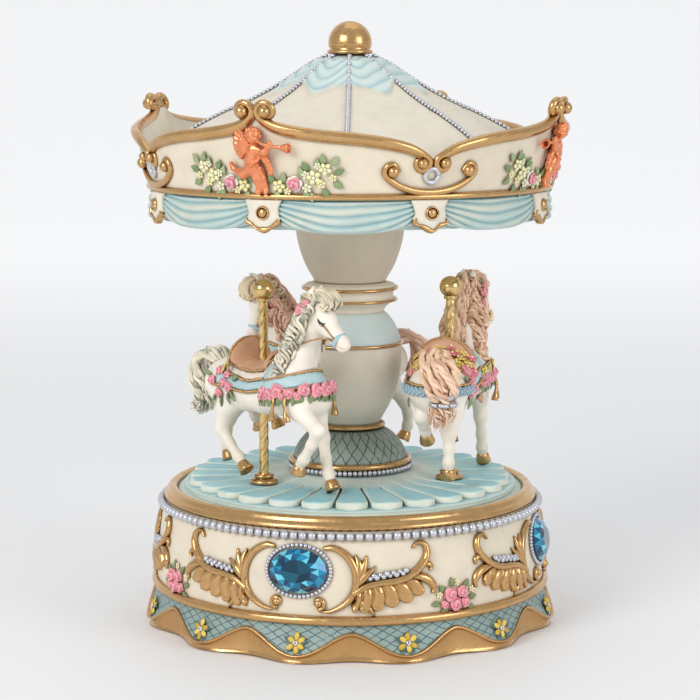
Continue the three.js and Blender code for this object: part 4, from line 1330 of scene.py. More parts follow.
# each leg from the body to the pastern, on the left side; the sides are swapped where a horse needs it
LEGS = {
    "bent_fore": [
        (18, 3.6, 35, 5.6), (25, 5.4, 29.8, 3.5), (34.4, 5.3, 24, 2.35), (31, 5.2, 18.6, 1.75),
        (26.8, 5.1, 13, 1.7), (24.6, 5, 10.4, 1.75),
    ],
    "straight_fore": [
        (17, 3.6, 34, 5.6), (22.6, 5.2, 26.8, 3.3), (25.2, 5.2, 19.2, 2.25), (27, 5.1, 12, 1.7),
        (28.4, 5, 7, 1.75), (29.4, 5, 4.6, 1.75),
    ],
    "high_fore": [
        (19, 3.6, 35, 5.6), (26, 5.4, 29.5, 3.5), (35.4, 5.3, 25.4, 2.35), (34.6, 5.2, 20.6, 1.75),
        (32.4, 5.1, 16.2, 1.7), (31.2, 5, 14, 1.75),
    ],
    "folded_fore": [
        (17, 3.6, 34, 5.6), (20, 5.4, 27.5, 3.5), (28.8, 5.3, 22.6, 2.35), (27, 5.2, 18.4, 1.75),
        (24.2, 5.1, 14.6, 1.7), (22.6, 5, 12.8, 1.75),
    ],
    "forward_hind": [
        (-15.4, 4.2, 34, 6.8), (-12.8, 5.4, 27.6, 4.2), (-16.6, 5.3, 18.4, 2.5), (-12.6, 5.2, 13.6, 1.75),
        (-8, 5.1, 9.4, 1.7), (-6, 5, 7.4, 1.75),
    ],
    "raised_hind": [
        (-15.4, 4.2, 34, 6.8), (-12, 5.4, 29.4, 4.2), (-18.4, 5.4, 25.4, 2.5), (-16.4, 5.4, 22.6, 1.75),
        (-13.4, 5.4, 19.6, 1.7), (-12.4, 5.4, 18, 1.75),
    ],
    "trailing_hind": [
        (-18, 4.2, 34.4, 6.8), (-19.2, 5.2, 27.6, 4.1), (-25.4, 5.2, 20, 2.5), (-26.8, 5.2, 14.6, 1.75),
        (-26.6, 5.1, 10.4, 1.7), (-26, 5, 8.2, 1.75),
    ],
    "standing_hind": [
        (-18, 4.2, 34.4, 6.8), (-17.6, 5.2, 27.6, 4.1), (-21, 5.2, 20.4, 2.5), (-20.6, 5.1, 14.6, 1.8),
        (-20.6, 5, 10, 1.75), (-20.2, 4.9, 7.4, 1.75),
    ],
}
# what sets each horse apart: where its poll is, the head's turn to its left and its nod in degrees,
# its hair's light and dark colours, the dark one painted shade among the strands, how long its mane is,
# whether it wears glitter, and its legs with the side that each is on
HORSES = (
    {
        "poll": (28.8, 0, 65.4), "turn": 8, "nod": 2,
        "hair": (srgb(244, 234, 210), srgb(132, 142, 136)),
        "forelock": (srgb(244, 232, 204), srgb(176, 172, 152)),
        "mane": 1.15, "glitter": False,
        "legs": (("bent_fore", -1), ("straight_fore", 1), ("forward_hind", -1), ("trailing_hind", 1)),
    },
    {
        "poll": (27.4, 0, 65.6), "turn": -24, "nod": 0,
        "hair": (srgb(250, 214, 184), srgb(214, 162, 130)),
        "forelock": (srgb(246, 208, 178), srgb(206, 154, 124)),
        "mane": 1.7, "glitter": True,
        "legs": (("folded_fore", 1), ("straight_fore", -1), ("raised_hind", 1), ("standing_hind", -1)),
    },
    {
        "poll": (29, 0, 63), "turn": 8, "nod": 34,
        "hair": (srgb(250, 210, 186), srgb(226, 170, 146)),
        "forelock": (srgb(242, 224, 188), srgb(214, 180, 140)),
        "mane": 1.4, "glitter": False,
        "legs": (("high_fore", 1), ("folded_fore", -1), ("trailing_hind", 1), ("forward_hind", -1)),
    },
)


class Horse:
    def __init__(self, index):
        self.index = index
        self.looks = HORSES[index]
        azimuth = POLE_AZIMUTH + POLE_SPACING * index
        heading = math.radians(FIRST_HEADING + POLE_SPACING * index)
        forward = np.array([math.cos(heading), math.sin(heading), 0])
        left = np.array([-math.sin(heading), math.cos(heading), 0])
        self.axes = np.array([forward, left, [0, 0, 1.0]])
        self.place = polar(azimuth, POLE_CIRCLE, DECK)
        turn, nod = math.radians(self.looks["turn"]), math.radians(self.looks["nod"])
        ahead = np.array([math.cos(turn), math.sin(turn), 0])
        above = np.array([0, 0, 1.0])
        sideways = np.cross(above, ahead)
        self.head_axes = np.array([
            math.cos(nod) * ahead - math.sin(nod) * above,
            sideways,
            math.cos(nod) * above + math.sin(nod) * ahead,
        ])
        self.poll = np.array(self.looks["poll"])
        self.strands = self.looks["hair"]
        self.legs = [[(u, side * v, w, r) for u, v, w, r in LEGS[name]] for name, side in self.looks["legs"]]

    def head(self, *points):
        """Points on the head, given from the poll, in the horse's frame."""
        return self.poll + HEAD_SCALE * np.asarray(points, float) @ self.head_axes

    def bones(self, points, radii, blend, cut=False):
        """Limbs of the head through points given from the poll."""
        points, radii = self.head(*points), np.array(radii) * HEAD_SCALE
        for k in range(len(points) - 1):
            self.carving.limb(points[k], points[k + 1], radii[k], radii[k + 1], blend, cut)

    def make(self, shape, name, material, replaces=()):
        """Stands the shape on the turntable and makes it a piece."""
        shape.points = [np.concatenate(shape.points) @ self.axes + self.place]
        return shape.make(f"horse_{self.index + 1}_{name}", material, "carousel", replaces)

    def skin(self, origin, direction, out=0.0, nearest=3.0):
        """Where rays from inside the body leave it, and out millimetres further."""
        origin, direction = np.broadcast_arrays(np.asarray(origin, float), np.asarray(direction, float))
        direction = direction / np.linalg.norm(direction, axis=-1, keepdims=True)
        reach = np.arange(nearest, nearest + 14.0, 0.12)
        probes = origin[..., None, :] + reach[:, None] * direction[..., None, :]
        cell = np.clip(
            ((probes - self.carving.low) / self.carving.step).round().astype(int), 0,
            np.array(self.carving.size) - 1,
        )
        outside = self.carving.field[cell[..., 0], cell[..., 1], cell[..., 2]] > 0
        first = reach[outside.argmax(-1)]
        return origin + (first + out)[..., None] * direction

    def barrel(self, u, angle, out=0.0):
        """A point on the body: angle 0 is on its back and 90 on its left side."""
        u, angle, out = np.broadcast_arrays(np.asarray(u, float), np.radians(angle), out)
        centre = np.stack([u, 0 * u, BARREL_HEIGHT + 0 * u], -1)
        return self.skin(centre, np.stack([0 * u, np.sin(angle), np.cos(angle)], -1), out)

    def chest(self, degrees, height, out=0.0):
        """A point round the chest: 0 degrees is its front and 90 its left side."""
        a, height, out = np.broadcast_arrays(np.radians(degrees), np.asarray(height, float), out)
        centre = np.stack([17 + 0 * a, 0 * a, height], -1)
        return self.skin(centre, np.stack([np.cos(a), np.sin(a), 0 * a], -1), out)

    def body(self):
        carving = self.carving = Carving((-31, -16, 0), (47, 18, 78), 0.36)
        carving.chain(BARREL, 3)
        carving.chain([(-20, 0, 35, 7.6), (-14, 0, 35.4, 8.8)], 3)
        carving.chain(
            [(*(NECK_ROOT + share * (self.poll - NECK_ROOT)), radius) for share, radius in NECK], 3.5,
        )
        carving.limb((22, -2.5, 33), (23, 2.5, 33), 6.8, 6.8, 3)
        for side in (-1, 1):
            carving.limb((-16, side * 4, 35), (-13.6, side * 4.6, 30), 6.6, 4.6, 3)
            carving.limb((17, side * 4, 38), (21.6, side * 4.4, 32), 6.0, 4.4, 2.5)
        for leg in self.legs:
            carving.chain(leg, 1.6)
            for joint, more in ((leg[2], 0.05), (leg[4], 0.12)):
                carving.limb(joint[:3], joint[:3], joint[3] + more, joint[3] + more, 1.0)
        skull = [(0.5, 0, -0.5), (4.2, 0, -4.6), (9.2, 0, -9.4), (13.0, 0, -12.6), (14.2, 0, -13.6)]
        self.bones(skull, [4.4, 4.0, 2.8, 2.35, 2.3], 1.6)
        self.bones([(2.4, 0, -6.4), (7.4, 0, -10.2), (12.6, 0, -15.0)], [3.4, 2.5, 1.6], 1.6)
        for side in (-1, 1):
            self.bones([(4.0, side * 2.3, -2.2), (5.8, side * 2.6, -4.6)], [1.3, 1.2], 1.2)
            self.bones(
                [(-0.6, side * 2.1, 3.0), (-1.2, side * 2.7, 6.0), (-0.6, side * 2.5, 8.6)],
                [1.5, 1.45, 0.4], 0.8,
            )
            self.bones([(0.7, side * 2.6, 3.8), (0.5, side * 3.0, 6.6)], [0.8, 0.6], 0.5, cut=True)
            self.bones([(15.6, side * 1.7, -12.8), (15.0, side * 2.3, -12.2)], [0.6, 0.5], 0.5, cut=True)
            self.bones([(11.4, side * 2.3, -14.4), (15.4, side * 1.6, -15.1)], [0.35, 0.4], 0.5, cut=True)
        points, quads = carving.mesh()
        points = loosen(points, quads)
        nose = np.linalg.norm(points - self.head((14.6, 0, -13.8)), axis=1)
        pink = (0.25 * np.clip((4.6 - nose) / 2.6, 0, 1))[:, None]
        # painted shade: the body turns darker and warmer towards the belly and legs
        low = (0.4 * np.clip((26 - points[:, 2]) / 16, 0, 1))[:, None]
        colours = between(HORSE_WHITE, srgb(232, 190, 176), pink)
        colours = between(colours, srgb(228, 214, 188), low)
        shape = Shape()
        shape.add(points, quads, colours)
        self.make(shape, "carved_body", "tinted_paint", [f"horse_{self.index + 1}"])

    def hooves(self):
        shape = Shape()
        for leg in self.legs:
            ankle, end = np.array(leg[-2][:3]), np.array(leg[-1][:3])
            way = (end - ankle) / np.linalg.norm(end - ankle) + np.array([0.12, 0, -0.25])
            way /= np.linalg.norm(way)
            path = end + way * np.array([[-0.5], [0.2], [0.6], [1.6], [2.7], [3.1], [3.15]])
            path[:, 0] += np.array([0, 0, 0, 0.1, 0.3, 0.4, 0.4])
            path[:, 2] = np.maximum(path[:, 2], 0.25)
            tube(shape, path, [1.7, 2.1, 2.3, 2.45, 2.75, 2.8, 2.2], 16)
        self.make(shape, "gilt_hooves", "gold_paint")

    def lock(self, shape, path, thick, count=5, spread=0.9, curl=0.8, seed=0.0):
        """A lock of hair: tapered strands that lie side by side and wind into a curl towards the tip."""
        path = smooth(path, 6)
        t = np.linspace(0, 1, len(path))[:, None]
        windings = max(1, np.linalg.norm(np.diff(path, axis=0), axis=1).sum() / 14)
        for k in range(count):
            a = 2 * np.pi * (k / count + seed)
            beside = spread * np.array([math.cos(a), 0.7 * math.sin(a), math.sin(a)])
            wind = a + 2 * np.pi * windings * (1.6 + 0.5 * math.sin(9 * seed + k)) * t
            twist = curl * t**1.2 * np.concatenate(
                [np.cos(wind), 0.9 * np.sin(wind), 0.8 * np.cos(wind + 1.1)], 1,
            )
            strand = path + beside * np.sin(np.pi * np.clip(t * 0.85 + 0.12, 0, 1)) + twist
            # the strand's colour runs from the hair's light colour towards its darker one, which is painted
            # shade among the strands
            mix = 0.5 + 0.5 * math.sin(13.7 * (k + 3 * seed) + seed * 31)
            fade = np.clip(0.2 + 0.8 * np.sin(3 * t + seed * 5 + k) ** 2, 0, 1)
            tint = between(*self.strands, fade * (1 - mix))
            tube(shape, strand, tapered(len(path), thick, 0.75, 0.2), 6, tint=np.repeat(tint, 6, 0))

    def ringlet(self, shape, centre, size, start, side, seed):
        """A curl of hair wound flat against the neck or the head, its tip at the centre."""
        wound = spiral((0, 0), size, 0.22 * size, start, side * 1.35, 16)
        out = np.linspace(0, 0.9, 16)
        path = np.stack([wound[:, 0], side * out, wound[:, 1]], 1) + centre
        self.lock(shape, path[::3], 0.62, 3, 0.45, 0.0, seed)

    def hair(self):
        shape = Shape()
        long = self.looks["mane"]
        high, low = self.poll + (-0.6, 0, 3.6), np.array([16.0, 0, 46.6])
        share = np.linspace(0, 1, 17)[:, None]
        crest = high + share * (low - high) - np.sin(np.pi * share) * (1.6, 0, 0)
        count = 13
        for k in range(count):
            root = crest[round(k * (len(crest) - 1) / (count - 1))]
            for side in (-1, 1):
                wave = math.sin(2.3 * k + side)
                out = side * (3.9 + 0.7 * (k % 2) + 0.16 * k)
                drop = (8.0 + 3.0 * wave) * long
                path = root + np.array([
                    (0, 0, 0), (0.4, out * 0.7, 0.9), (1.2, out, -2.2), (-1.0, out * 1.25, -0.45 * drop),
                    (1.0 - 0.8 * wave, out * 1.34, -0.75 * drop), (-1.6, out * 1.28, -drop),
                ])
                self.lock(shape, path, 0.85, 6, 1.25, 1.3, seed=0.137 * k + 0.4 * (side > 0))
                tip = root + (-1.4, out * 1.26, -drop)
                self.ringlet(shape, tip, 1.7 + 0.4 * wave, 90 + 40 * wave, side, seed=0.2 * k)
                if k % 2:
                    self.ringlet(
                        shape, root + (1.0, out * 1.3, -0.4 * drop), 1.7, 200, side, seed=0.3 * k + 0.1,
                    )
            back = root + np.array([
                (1, 0, 0.8), (-2.4, 0.8 * wave, 1.4), (-4.8, -0.9 * wave, -0.6),
                (-5.4, 0.9 * wave, -3.6 * long), (-3.2, 0.2, -5.0 * long),
            ])
            self.lock(shape, back, 0.85, 5, 0.95, 0.7, seed=0.31 * k)
            self.ringlet(
                shape, root + (-4.2, 1.4 * wave, -1.0), 1.8, 60 * k, 1 if k % 2 else -1, seed=0.17 * k,
            )
        # curls that stand up between the ears and fall over the forehead
        self.strands = self.looks["forelock"]
        for k in range(7):
            side = (k - 3) * 0.9
            path = self.head(
                (-1.8, side * 0.5, 4.0), (1.2, side, 6.4), (4.6, side * 1.3, 5.4), (6.6, side * 1.5, 2.4),
                (6.2, side * 1.7, 0.4),
            )
            self.lock(shape, path, 0.75, 5, 0.8, 0.8, seed=0.21 * k)
            curl = self.head((6.4 - 3.2 * (k % 2), side * 1.6, 1.8 + 3.4 * (k % 2)))[0]
            self.ringlet(shape, curl, 1.7, 70 * k, 1 if side > 0 else -1, seed=0.4 * k)
        for side in (-1, 1):
            for k, (u, w) in enumerate((
                (-1.0, 3.6), (-3.6, 3.0), (-4.8, -0.4), (-2.8, -2.4), (-5.6, -4.2),
            )):
                self.ringlet(
                    shape, self.head((u, side * (3.9 + 0.2 * k), w))[0], 2.0, 110 * k, side, seed=0.15 * k,
                )
        self.strands = self.looks["hair"]
        if self.looks["glitter"]:
            dock = [
                (-16, 0, 42.6), (-21.6, -0.4, 47), (-27, -2, 47), (-30, -3.8, 44), (-30.4, -5, 39),
                (-29.8, -5.4, 34.4), (-29.4, -5, 30), (-28.8, -4, 24),
            ]
        else:
            dock = [
                (-18, 0, 40), (-22.6, 0, 43), (-28, 0, 44.4), (-32.8, 0, 41.6), (-34, 0, 35.6),
                (-32.2, 0, 30.4), (-32.4, 0, 26), (-36, 0, 23),
            ]
        line = smooth(dock, 6)
        t = np.linspace(0, 1, len(line))
        waist = 1 - 0.5 * np.exp(-(((t - 0.72) / 0.07) ** 2)) if self.looks["glitter"] else np.ones(len(t))
        widths = (2.2, 4.4) if self.looks["glitter"] else (1.6, 3.4)
        bundles = 24
        for k in range(bundles):
            turn = 4 * np.pi * k / bundles + 2.8 * t
            swell = widths[k % 2] * (0.3 + 0.95 * np.sin(np.pi * np.clip(t * 0.8 + 0.08, 0, 1))) * waist
            bundle = line + np.stack(
                [0.7 * swell * np.cos(turn), swell * np.sin(turn), 0.4 * swell * np.cos(turn)], 1,
            )
            bundle[:, 0] += 1.6 * np.sin(12 * k) * t**4
            bundle[:, 2] += 3.0 * np.sin(5 * k + 1) * t**6
            self.lock(shape, bundle[::4], 0.9, 4, 0.85, 1.1, seed=k * 0.173)
            if not self.looks["glitter"]:
                self.ringlet(
                    shape, bundle[-8 - 5 * (k % 5)], 1.6, 50 * k, 1 if k % 2 else -1, seed=0.19 * k,
                )
        self.make(shape, "mane_and_tail", "hair_paint")

    def cloth(self, shape, u_from, u_to, reach, out, tint, deeper=None, raised=None):
        """A cloth over the back, hanging reach degrees down both sides, and deeper(u) degrees more."""
        rows, columns = 44, 72
        u = np.linspace(u_from, u_to, rows)[:, None]
        share = np.linspace(-1, 1, columns)[None, :]
        angle = share * (reach + (deeper(u) if deeper else 0 * u))
        lift = raised(u, angle) if raised else 0 * u * angle
        inset = np.clip(np.minimum((1 - np.abs(share)) * 16, np.minimum(u - u_from, u_to - u) / 0.5), 0, 1)
        ground = self.barrel(u + 0 * angle, angle)
        away = ground - np.stack(np.broadcast_arrays(u, 0.0, BARREL_HEIGHT + 0 * angle), -1)
        away /= np.linalg.norm(away, axis=-1, keepdims=True)
        shape.add(
            ground + (lift + out - 0.9 * (1 - inset))[..., None] * away, sheet_faces(rows, columns), tint,
        )
        shape.add(ground - 0.8 * away, sheet_faces(rows, columns)[:, ::-1], tint)

    def rope(self, shape, path, thick):
        """A gilt rope edging, as a row of overlapping beads."""
        path = smooth(path, 8)
        arc = np.concatenate([[0], np.cumsum(np.linalg.norm(np.diff(path, axis=0), axis=1))])
        spots = np.arange(0, arc[-1], thick * 1.3)
        balls(shape, np.stack([np.interp(spots, arc, path[:, i]) for i in range(3)], 1), thick, 6, 8)

    def tack(self):
        blue = srgb(182, 208, 212)
        straps = Shape(blue)
        gilt = Shape()

        def hem(u):
            return 9 * np.cos((u + 1) / 12.5 * np.pi / 2) ** 2

        def flap(u):
            return 9 * np.cos((u - 1) / 10 * np.pi / 2) ** 2

        def seat(u, angle):
            wide, narrow = (np.clip(np.cos(np.radians(angle * k)), 0, 1) for k in (1.4, 2))
            cantle = 6.8 * np.exp(-(((u + 7.4) / 2.7) ** 2)) * wide**0.8
            return cantle + 3.2 * np.exp(-(((u - 8.2) / 1.9) ** 2)) * narrow

        self.cloth(straps, -13.5, 12.5, 92, 0.6, blue, hem)
        # the breast strap climbs a little towards the chest's front
        round_chest = np.linspace(-124, 124, 60)
        height = 41.0 - 4.2 * (np.abs(round_chest) / 124) ** 1.5
        across = np.array([-2.3, -2.2, -1.2, 0, 1.2, 2.2, 2.3])
        rise = np.array([-0.6, 0.5, 0.75, 0.85, 0.75, 0.5, -0.6])
        band = self.chest(
            round_chest[:, None], height[:, None] + across, rise[None, :] + 0 * height[:, None],
        )
        straps.add(band, sheet_faces(60, 7)[:, ::-1], blue)
        if self.looks["glitter"]:
            round_rump = np.radians(np.linspace(95, 265, 34))
            loin = np.array([-15, 0, BARREL_HEIGHT])
            rays = np.stack([np.cos(round_rump), np.sin(round_rump), 0 * round_rump], 1)
            rump = self.skin(loin, rays, 0.1)
            tube(straps, rump, 1.6, 10, tint=srgb(150, 176, 190))
            for k in range(5):
                a = math.radians(-60 + 30 * k)
                outward = rump - loin
                outward /= np.linalg.norm(outward, axis=1)[:, None]
                grains = rump + 1.5 * math.cos(a) * outward + (0, 0, 1.5 * math.sin(a))
                balls(straps, grains[k % 2 :: 2], 0.55, 5, 6, tint=srgb(182, 204, 214))
            self.rope(gilt, rump + (0, 0, 2.0), 0.55)
        turn = np.linspace(0, 2 * np.pi, 25)[:-1]
        around = np.stack([11.4 + 1.3 * np.cos(turn), 2.9 * np.sin(turn), -12.2 + 2.5 * np.cos(turn)], 1)
        tube(
            straps, self.head(*around), 0.8, 8,
            tint=srgb(170, 206, 214) if self.index != 1 else srgb(232, 208, 120), closed=True,
        )
        self.make(straps, "blanket_and_straps", "blue_paint")

        leather = Shape(SADDLE_TAN)
        self.cloth(leather, -10.4, 9.8, 66, 1.0, srgb(238, 226, 208), flap)
        self.cloth(leather, -9.6, 9.2, 46, 1.7, SADDLE_TAN, lambda u: 0.7 * flap(u), seat)
        self.make(leather, "saddle", "tinted_paint")

        for side in (-1, 1):
            u = np.linspace(-13.2, 12.2, 16)
            self.rope(gilt, self.barrel(u, side * (90 + hem(u)), 0.7), 0.6)
            u = np.linspace(-10.2, 9.6, 14)
            self.rope(gilt, self.barrel(u, side * (65 + flap(u)), 1.1), 0.5)
            u = np.linspace(-9.4, 9, 14)
            self.rope(gilt, self.barrel(u, side * (45.5 + 0.7 * flap(u)), 1.6), 0.42)
            for degrees, lean in ((80, -0.8), (58, 1.2)):
                top = self.chest(side * degrees, 35, 1.6)
                ribbon = smooth(
                    [
                        top, top + (0.2, side * 0.7, -3), top + (0.6 * lean, side * 0.6, -6),
                        top + (lean, side * 0.3, -8.6),
                    ],
                    5,
                )
                share = np.linspace(0, 1, len(ribbon))
                tube(gilt, ribbon, np.interp(share, [0, 0.55, 0.8, 1], [0.45, 0.6, 1.2, 1.35]), 8)
            bit = self.head((12, side * 2.8, -12.2), (6, side * 3.8, -6.2), (0, side * 4.2, 0.5))
            self.rope(gilt, bit, 0.34)
            rein = self.head((12, side * 2.9, -12.4), (4.5, side * 4.5, -11.6))
            self.rope(gilt, [rein[0], rein[1], (21.4, side * 7.0, 51), (11, side * 7.6, 45)], 0.34)
        angle = np.linspace(-60, 60, 17)
        self.rope(gilt, self.barrel(-7.6, angle, 1.7 + seat(-7.6, angle)), 0.55)
        for up in (2.3, -2.3):
            self.rope(gilt, self.chest(round_chest[::4], height[::4] + up, 0.5), 0.52)
        self.make(gilt, "gilt_trim", "gold_paint")

    def flowers(self):
        shape = Shape()
        green = srgb(128, 152, 100)
        for side in (-1, 1):
            round_chest = np.array([8, 29, 52, 75, 98, 120])
            spots = self.chest(side * round_chest, 37.2 - 0.022 * round_chest, 0.8)
            for k, place in enumerate(spots):
                normal = (place - (16, 0, 33)) * (1, 1, 0.1) + (0, 0, 0.6)
                rose(shape, place + (0, 0, 0.9 * (k % 2)), normal, 2.8 - 0.3 * (k % 3), turn=k * 0.3)
                step = spots[min(k + 1, len(spots) - 1)] - spots[max(k - 1, 0)]
                rose(shape, place + step * 0.25 + (0, 0, -0.9), normal, 1.7, turn=k * 0.7)
                for shift_along in (-0.28, 0.1, 0.4):
                    leaf(
                        shape, place + step * shift_along + (0, 0, -0.8), (0.3 * side, 0, -2.6), normal,
                        3.6, 1.9, green,
                    )
                if self.looks["glitter"]:
                    blossom(shape, place + (0, 0, 3.4), normal, 1.9)
            hip = np.array([-10.6, 0, 36])
            for k, (u, w) in enumerate((
                (-1.8, 3.6), (1.4, 2.8), (-2.9, 0.6), (0.2, 0.2), (2.4, -0.8), (-1.0, -2.6),
            )):
                way = np.array([u, side * 8, w])
                rose(shape, self.skin(hip, way, 0.7), way, 2.0 - 0.2 * (k % 2), turn=0.2 * k)
            for u, w in ((-2.2, -3), (-0.4, -3.4), (1.6, -2.8), (3.4, 1.4), (-4, 2), (3, -2)):
                place = self.skin(hip, (u, side * 8, w), 0.6)
                leaf(shape, place, (0.4 * u, 0, -2.0 if w < 0 else 0.6), (-0.5, side, 0.2), 4.2, 2.2, green)
            for k, (u, w, size) in enumerate(((-2.4, -0.6, 2.1), (-3.6, -4.6, 1.9), (-0.4, 2.0, 1.5))):
                place = self.poll + (u, side * (6.2 - 0.3 * k), w)
                rose(shape, place, (0.3, side, 0.1), size, turn=0.4 * k)
                leaf(shape, place, np.array([-0.5, 0, -2.5 + 3 * (k == 2)]), (0, side, 0), 3.8, 1.7, green)
        for k, angle in enumerate(range(-60, 61, 15)):
            place = self.barrel(-11.0, angle, 1.6)
            blossom(shape, place, place - (-6, 0, 35.5), 1.5)
            if not self.looks["glitter"]:
                continue
            for u, out in ((-8.4, 5.4), (-9.6, 3.4), (-13.4, 1.2)):
                place = self.barrel(u - 0.4 * (k % 2), angle * (0.75 if out > 4 else 1.1), out)
                blossom(shape, place, place - (-4, 0, 34), 1.9, srgb(240, 206, 104) if k % 3 else ROSE_PINK)
        if self.looks["glitter"]:
            for k, angle in enumerate((-92, -74, -56, 56, 74, 92)):
                place = self.barrel(-13 + 3 * (k % 2), angle, 1.2)
                rose(shape, place, place - (-12, 0, 35.5), 2.6, turn=0.3 * k)
        self.make(shape, "flowers", "flower_paint")

        if self.looks["glitter"]:
            silver = Shape(srgb(200, 206, 216))
            for k in range(110):
                a = 2 * np.pi * (k * 0.381966)
                spot = np.array([
                    -29.8 + 3.6 * math.cos(a), -5.4 + 4.4 * math.sin(a), 33.6 + 1.8 * math.sin(k * 2.1),
                ])
                balls(silver, [spot], 0.5 + 0.18 * (k % 3), 5, 6)
            self.make(silver, "tail_glitter_band", "pearl")

    def face(self):
        shape = Shape(srgb(52, 42, 42))
        for side in (-1, 1):
            corners = self.head((3.5, 0, -3.8), (4.4, 0, -4.9), (5.6, 0, -5.5), (7.0, 0, -5.3))
            lid = smooth(self.skin(corners, self.head_axes[1] * side, 0.05, 0.5), 5)
            tube(shape, lid, tapered(len(lid), 0.42, 0.5, 0.4), 6)
            for share in (0.1, 0.35, 0.6, 0.85):
                root = lid[int(share * (len(lid) - 1))]
                tip = root + self.head((0.5, side * 0.5, -1.3))[0] - self.poll
                tube(shape, [root, (root + tip) / 2, tip], [0.2, 0.17, 0.08], 5)
        self.make(shape, "eyelashes", "tinted_paint")


def horses():
    for index in range(POLES):
        horse = Horse(index)
        horse.body()
        horse.hooves()
        horse.hair()
        horse.tack()
        horse.flowers()
        horse.face()


horses()

# ---- cherubs and garlands on the canopy ----------------------------------------------------------
# In a cherub's own frame: along the band, out of it, and up from the middle of the band.

CHERUB_HEIGHT = 168.5
CHERUB_LIMBS = {
    "body": [(-1.9, 2.2, -2.0, 2.3), (-1.7, 2.5, 0.6, 2.3), (-0.8, 2.6, 3.4, 2.0), (-0.4, 2.8, 5.6, 1.2)],
    "standing_leg": [
        (-1.0, 2.4, -2.4, 2.1), (-0.4, 2.6, -5.4, 1.65), (-0.2, 2.3, -7.4, 1.2), (-0.5, 2.4, -9.6, 0.9),
        (-0.6, 3.2, -10.2, 0.75),
    ],
    "second_leg": [
        (0.0, 2.2, -2.6, 1.9), (1.0, 2.3, -5.4, 1.45), (1.5, 2.0, -7.6, 1.05), (1.8, 2.2, -9.6, 0.8),
        (2.0, 3.0, -10.2, 0.7),
    ],
    "bent_leg": [
        (-2.6, 2.6, -2.4, 2.0), (-5.4, 3.0, -4.2, 1.5), (-7.4, 2.4, -3.4, 1.05), (-9.2, 2.1, -2.4, 0.85),
        (-9.8, 2.2, -0.6, 0.7),
    ],
    "trumpet_arm": [
        (0.9, 3.0, 4.0, 1.35), (3.2, 3.8, 3.0, 1.1), (5.0, 3.8, 5.2, 0.9), (5.5, 3.8, 6.2, 0.95),
    ],
    "free_arm": [
        (0.6, 2.8, 3.6, 1.3), (3.4, 2.8, 0.4, 1.05), (4.4, 3.0, -2.2, 0.85), (4.6, 3.2, -3.6, 0.95),
    ],
}


def cherubs():
    carving = Carving((-12, -1, -12.5), (13, 8, 14), 0.2)
    for limb in CHERUB_LIMBS.values():
        carving.chain(limb, 0.8)
    head = np.array([-0.1, 3.4, 8.6])
    carving.limb(head, head + (0.1, 0.2, -0.6), 2.45, 2.2, 0.6)
    for cheek in (-1, 1):
        carving.limb(
            head + (0.5 + cheek * 0.9, 1.6, -0.9), head + (0.5 + cheek * 0.9, 1.6, -0.9), 0.8, 0.8, 0.5,
        )
        carving.limb(
            head + (0.5 + cheek * 0.75, 2.5, 0.15), head + (0.5 + cheek * 0.95, 2.5, 0.15), 0.22, 0.22, 0.2,
            cut=True,
        )
    carving.limb(head + (0.5, 2.3, -0.3), head + (0.5, 2.35, -0.45), 0.35, 0.35, 0.3)
    for k in range(40):
        lift = 1 - 1.35 * k / 39
        ring = math.sqrt(max(0, 1 - lift * lift))
        a = k * 2.39996
        curl = np.array([ring * math.cos(a), ring * math.sin(a), lift])
        if curl[1] > 0.45 and lift < 0.55:
            continue
        spot = head + (0, -0.1, 0.3) + curl * 2.35
        carving.limb(spot, spot, 0.62, 0.62, 0.2)
    # the sash
    carving.chain(
        [(-3.6, 3.6, -0.6, 0.6), (-1.6, 4.7, -1.3, 0.6), (0.8, 4.4, 0.4, 0.55), (1.4, 3.4, 1.8, 0.5)], 0.3,
    )
    # the wing's feathers in two rows, behind the shoulder
    root = np.array([-1.6, 1.4, 4.6])
    for row, (count, length, out) in enumerate(((7, 7.6, 0.3), (6, 4.8, 1.2))):
        for k in range(count):
            a = math.radians(126 + 86 * k / (count - 1))
            reach = length * (1 - 0.28 * k / (count - 1))
            tip = root + reach * np.array([math.cos(a), 0, math.sin(a)]) + (0, out - 0.6, 0)
            carving.limb(root + (0, out - 0.4, 0), tip, 0.6, 0.95 - 0.15 * row, 0.12)
    trumpet = [
        (1.6, 4.6, 7.0, 0.5), (3.6, 4.4, 5.8, 0.5), (6.5, 3.8, 5.2, 0.55), (8.8, 3.4, 4.9, 0.7),
        (10.2, 3.3, 4.8, 1.3), (10.8, 3.3, 4.7, 1.75),
    ]
    carving.chain(trumpet, 0.25)
    carving.limb((10.6, 3.5, 4.7), (12.8, 3.8, 4.6), 0.5, 1.9, 0.2, cut=True)
    points, quads = carving.mesh()
    points = loosen(points, quads, 1)
    for corner in range(CORNERS):
        mirror = -1 if corner % 2 else 1
        wall = Wall(CORNER_AZIMUTH + corner * 360 / CORNERS, band_radius)
        shape = Shape()
        z = CHERUB_HEIGHT + points[:, 2]
        shape.add(wall.at(mirror * points[:, 0], z, points[:, 1] - 0.3), quads[:, ::mirror])
        shape.make(f"cherub_figure_{corner + 1}", "copper_paint", "carousel", [f"cherub_{corner + 1}"])


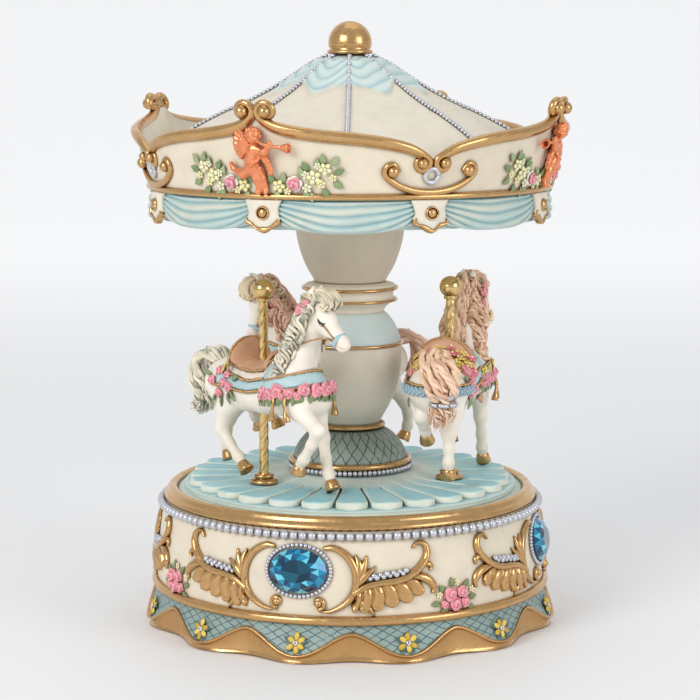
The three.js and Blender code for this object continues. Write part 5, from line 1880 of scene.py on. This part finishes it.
def garlands():
    """On each side of a cherub a spray climbs from the band's lower ring."""
    shape = Shape()
    white = srgb(244, 240, 226)
    for corner in range(CORNERS):
        wall = Wall(CORNER_AZIMUTH + corner * 360 / CORNERS, band_radius)
        # along the band from the corner, height above the lower ring, what it is, size
        spray = [
            (6.2, 3.6, "blossom", 2.3), (11.4, 4.3, "rose", 2.6), (9.0, 1.9, "blossom", 1.4),
            (15.6, 3.0, "blossom", 1.7), (18.2, 6.6, "blossom", 2.5), (15.6, 7.4, "blossom", 1.5),
            (22.2, 9.4, "blossom", 2.2), (20.4, 4.4, "blossom", 1.6), (24.4, 6.4, "blossom", 1.4),
            (19.8, 10.4, "blossom", 1.3),
        ]
        twigs = [
            (3.6, 5.6, 130), (5.6, 0.9, 250), (8.6, 5.4, 80), (13.6, 1.8, 300), (14.0, 6.4, 110),
            (17.0, 1.2, 280), (21.0, 1.8, 300), (17.2, 9.6, 120), (22.0, 12.0, 100), (25.4, 9.0, 20),
            (24.4, 4.0, 330),
            (19.6, 8.8, 90), (26.0, 11.4, 50),
        ]
        for side in (-1, 1):
            for along, up, kind, size in spray:
                place = wall.at(side * along, RING_HEIGHT + up, 1.1)
                normal = wall.normal(side * along, RING_HEIGHT + up)
                if kind == "rose":
                    rose(
                        shape, place, normal, size * 0.92, tint=srgb(226, 104, 132),
                        light=srgb(250, 226, 220), turn=along,
                    )
                    for k in range(5):
                        a = k * 1.2566 + along
                        axes = axes_of(normal)
                        outward = math.cos(a) * axes[0] + math.sin(a) * axes[1]
                        sideways = np.cross(axes[2], outward)
                        sizes = (size * 0.5, size * 0.62, size * 0.2)
                        egg(
                            shape, place + outward * size * 0.62 - axes[2] * 0.5, sizes,
                            (outward, sideways, axes[2]), 7, 9, white,
                        )
                else:
                    shade = 0.5 + 0.5 * math.sin(along * 3.1)
                    tint = between(srgb(236, 238, 196), srgb(240, 232, 150), shade)
                    blossom(shape, place, normal, size, tint, white, turn=along)
            for along, up, degrees in twigs:
                way = math.radians(degrees)
                nearest = min(spray, key=lambda flower: math.hypot(flower[0] - along, flower[1] - up))
                along, up = along + 0.4 * (nearest[0] - along), up + 0.4 * (nearest[1] - up)
                base = wall.at(side * along, RING_HEIGHT + up, 0.6)
                tip = wall.at(side * (along + 3 * math.cos(way)), RING_HEIGHT + up + 3 * math.sin(way), 1.1)
                shade = 0.5 + 0.5 * math.sin(along * 2.3 + degrees)
                green = between(srgb(168, 184, 136), srgb(112, 140, 88), shade)
                leaf(
                    shape, base, tip - base, wall.normal(side * along, RING_HEIGHT + up), 3.8, 2.3,
                    tint=green,
                )
    shape.make("canopy_garlands", "flower_paint", "carousel")


cherubs()
garlands()

# ---- the musical movement, whose parts come from the frame as they are ---------------------------

CARRIED_OVER = {
    "board": ("bottom_board",),
    "zinc": ("movement_bedplate", "governor_bracket", "drive_spindle"),
    "steel": ("board_screw_", "tuned_comb", "comb_screw_", "mainspring", "winding_arbor", "centre_rod"),
    "brass": (
        "spring_barrel", "winding_key", "pin_cylinder", "governor_wheel", "governor_fly", "spindle_bush",
        "turntable_hub",
    ),
}


def movement():
    for material, starts in CARRIED_OVER.items():
        for name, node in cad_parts.items():
            if not name.startswith(starts):
                continue
            if not node.material_slots:
                node.data.materials.append(None)
            node.material_slots[0].link = "OBJECT"
            node.material_slots[0].material = MATERIALS[material]


movement()
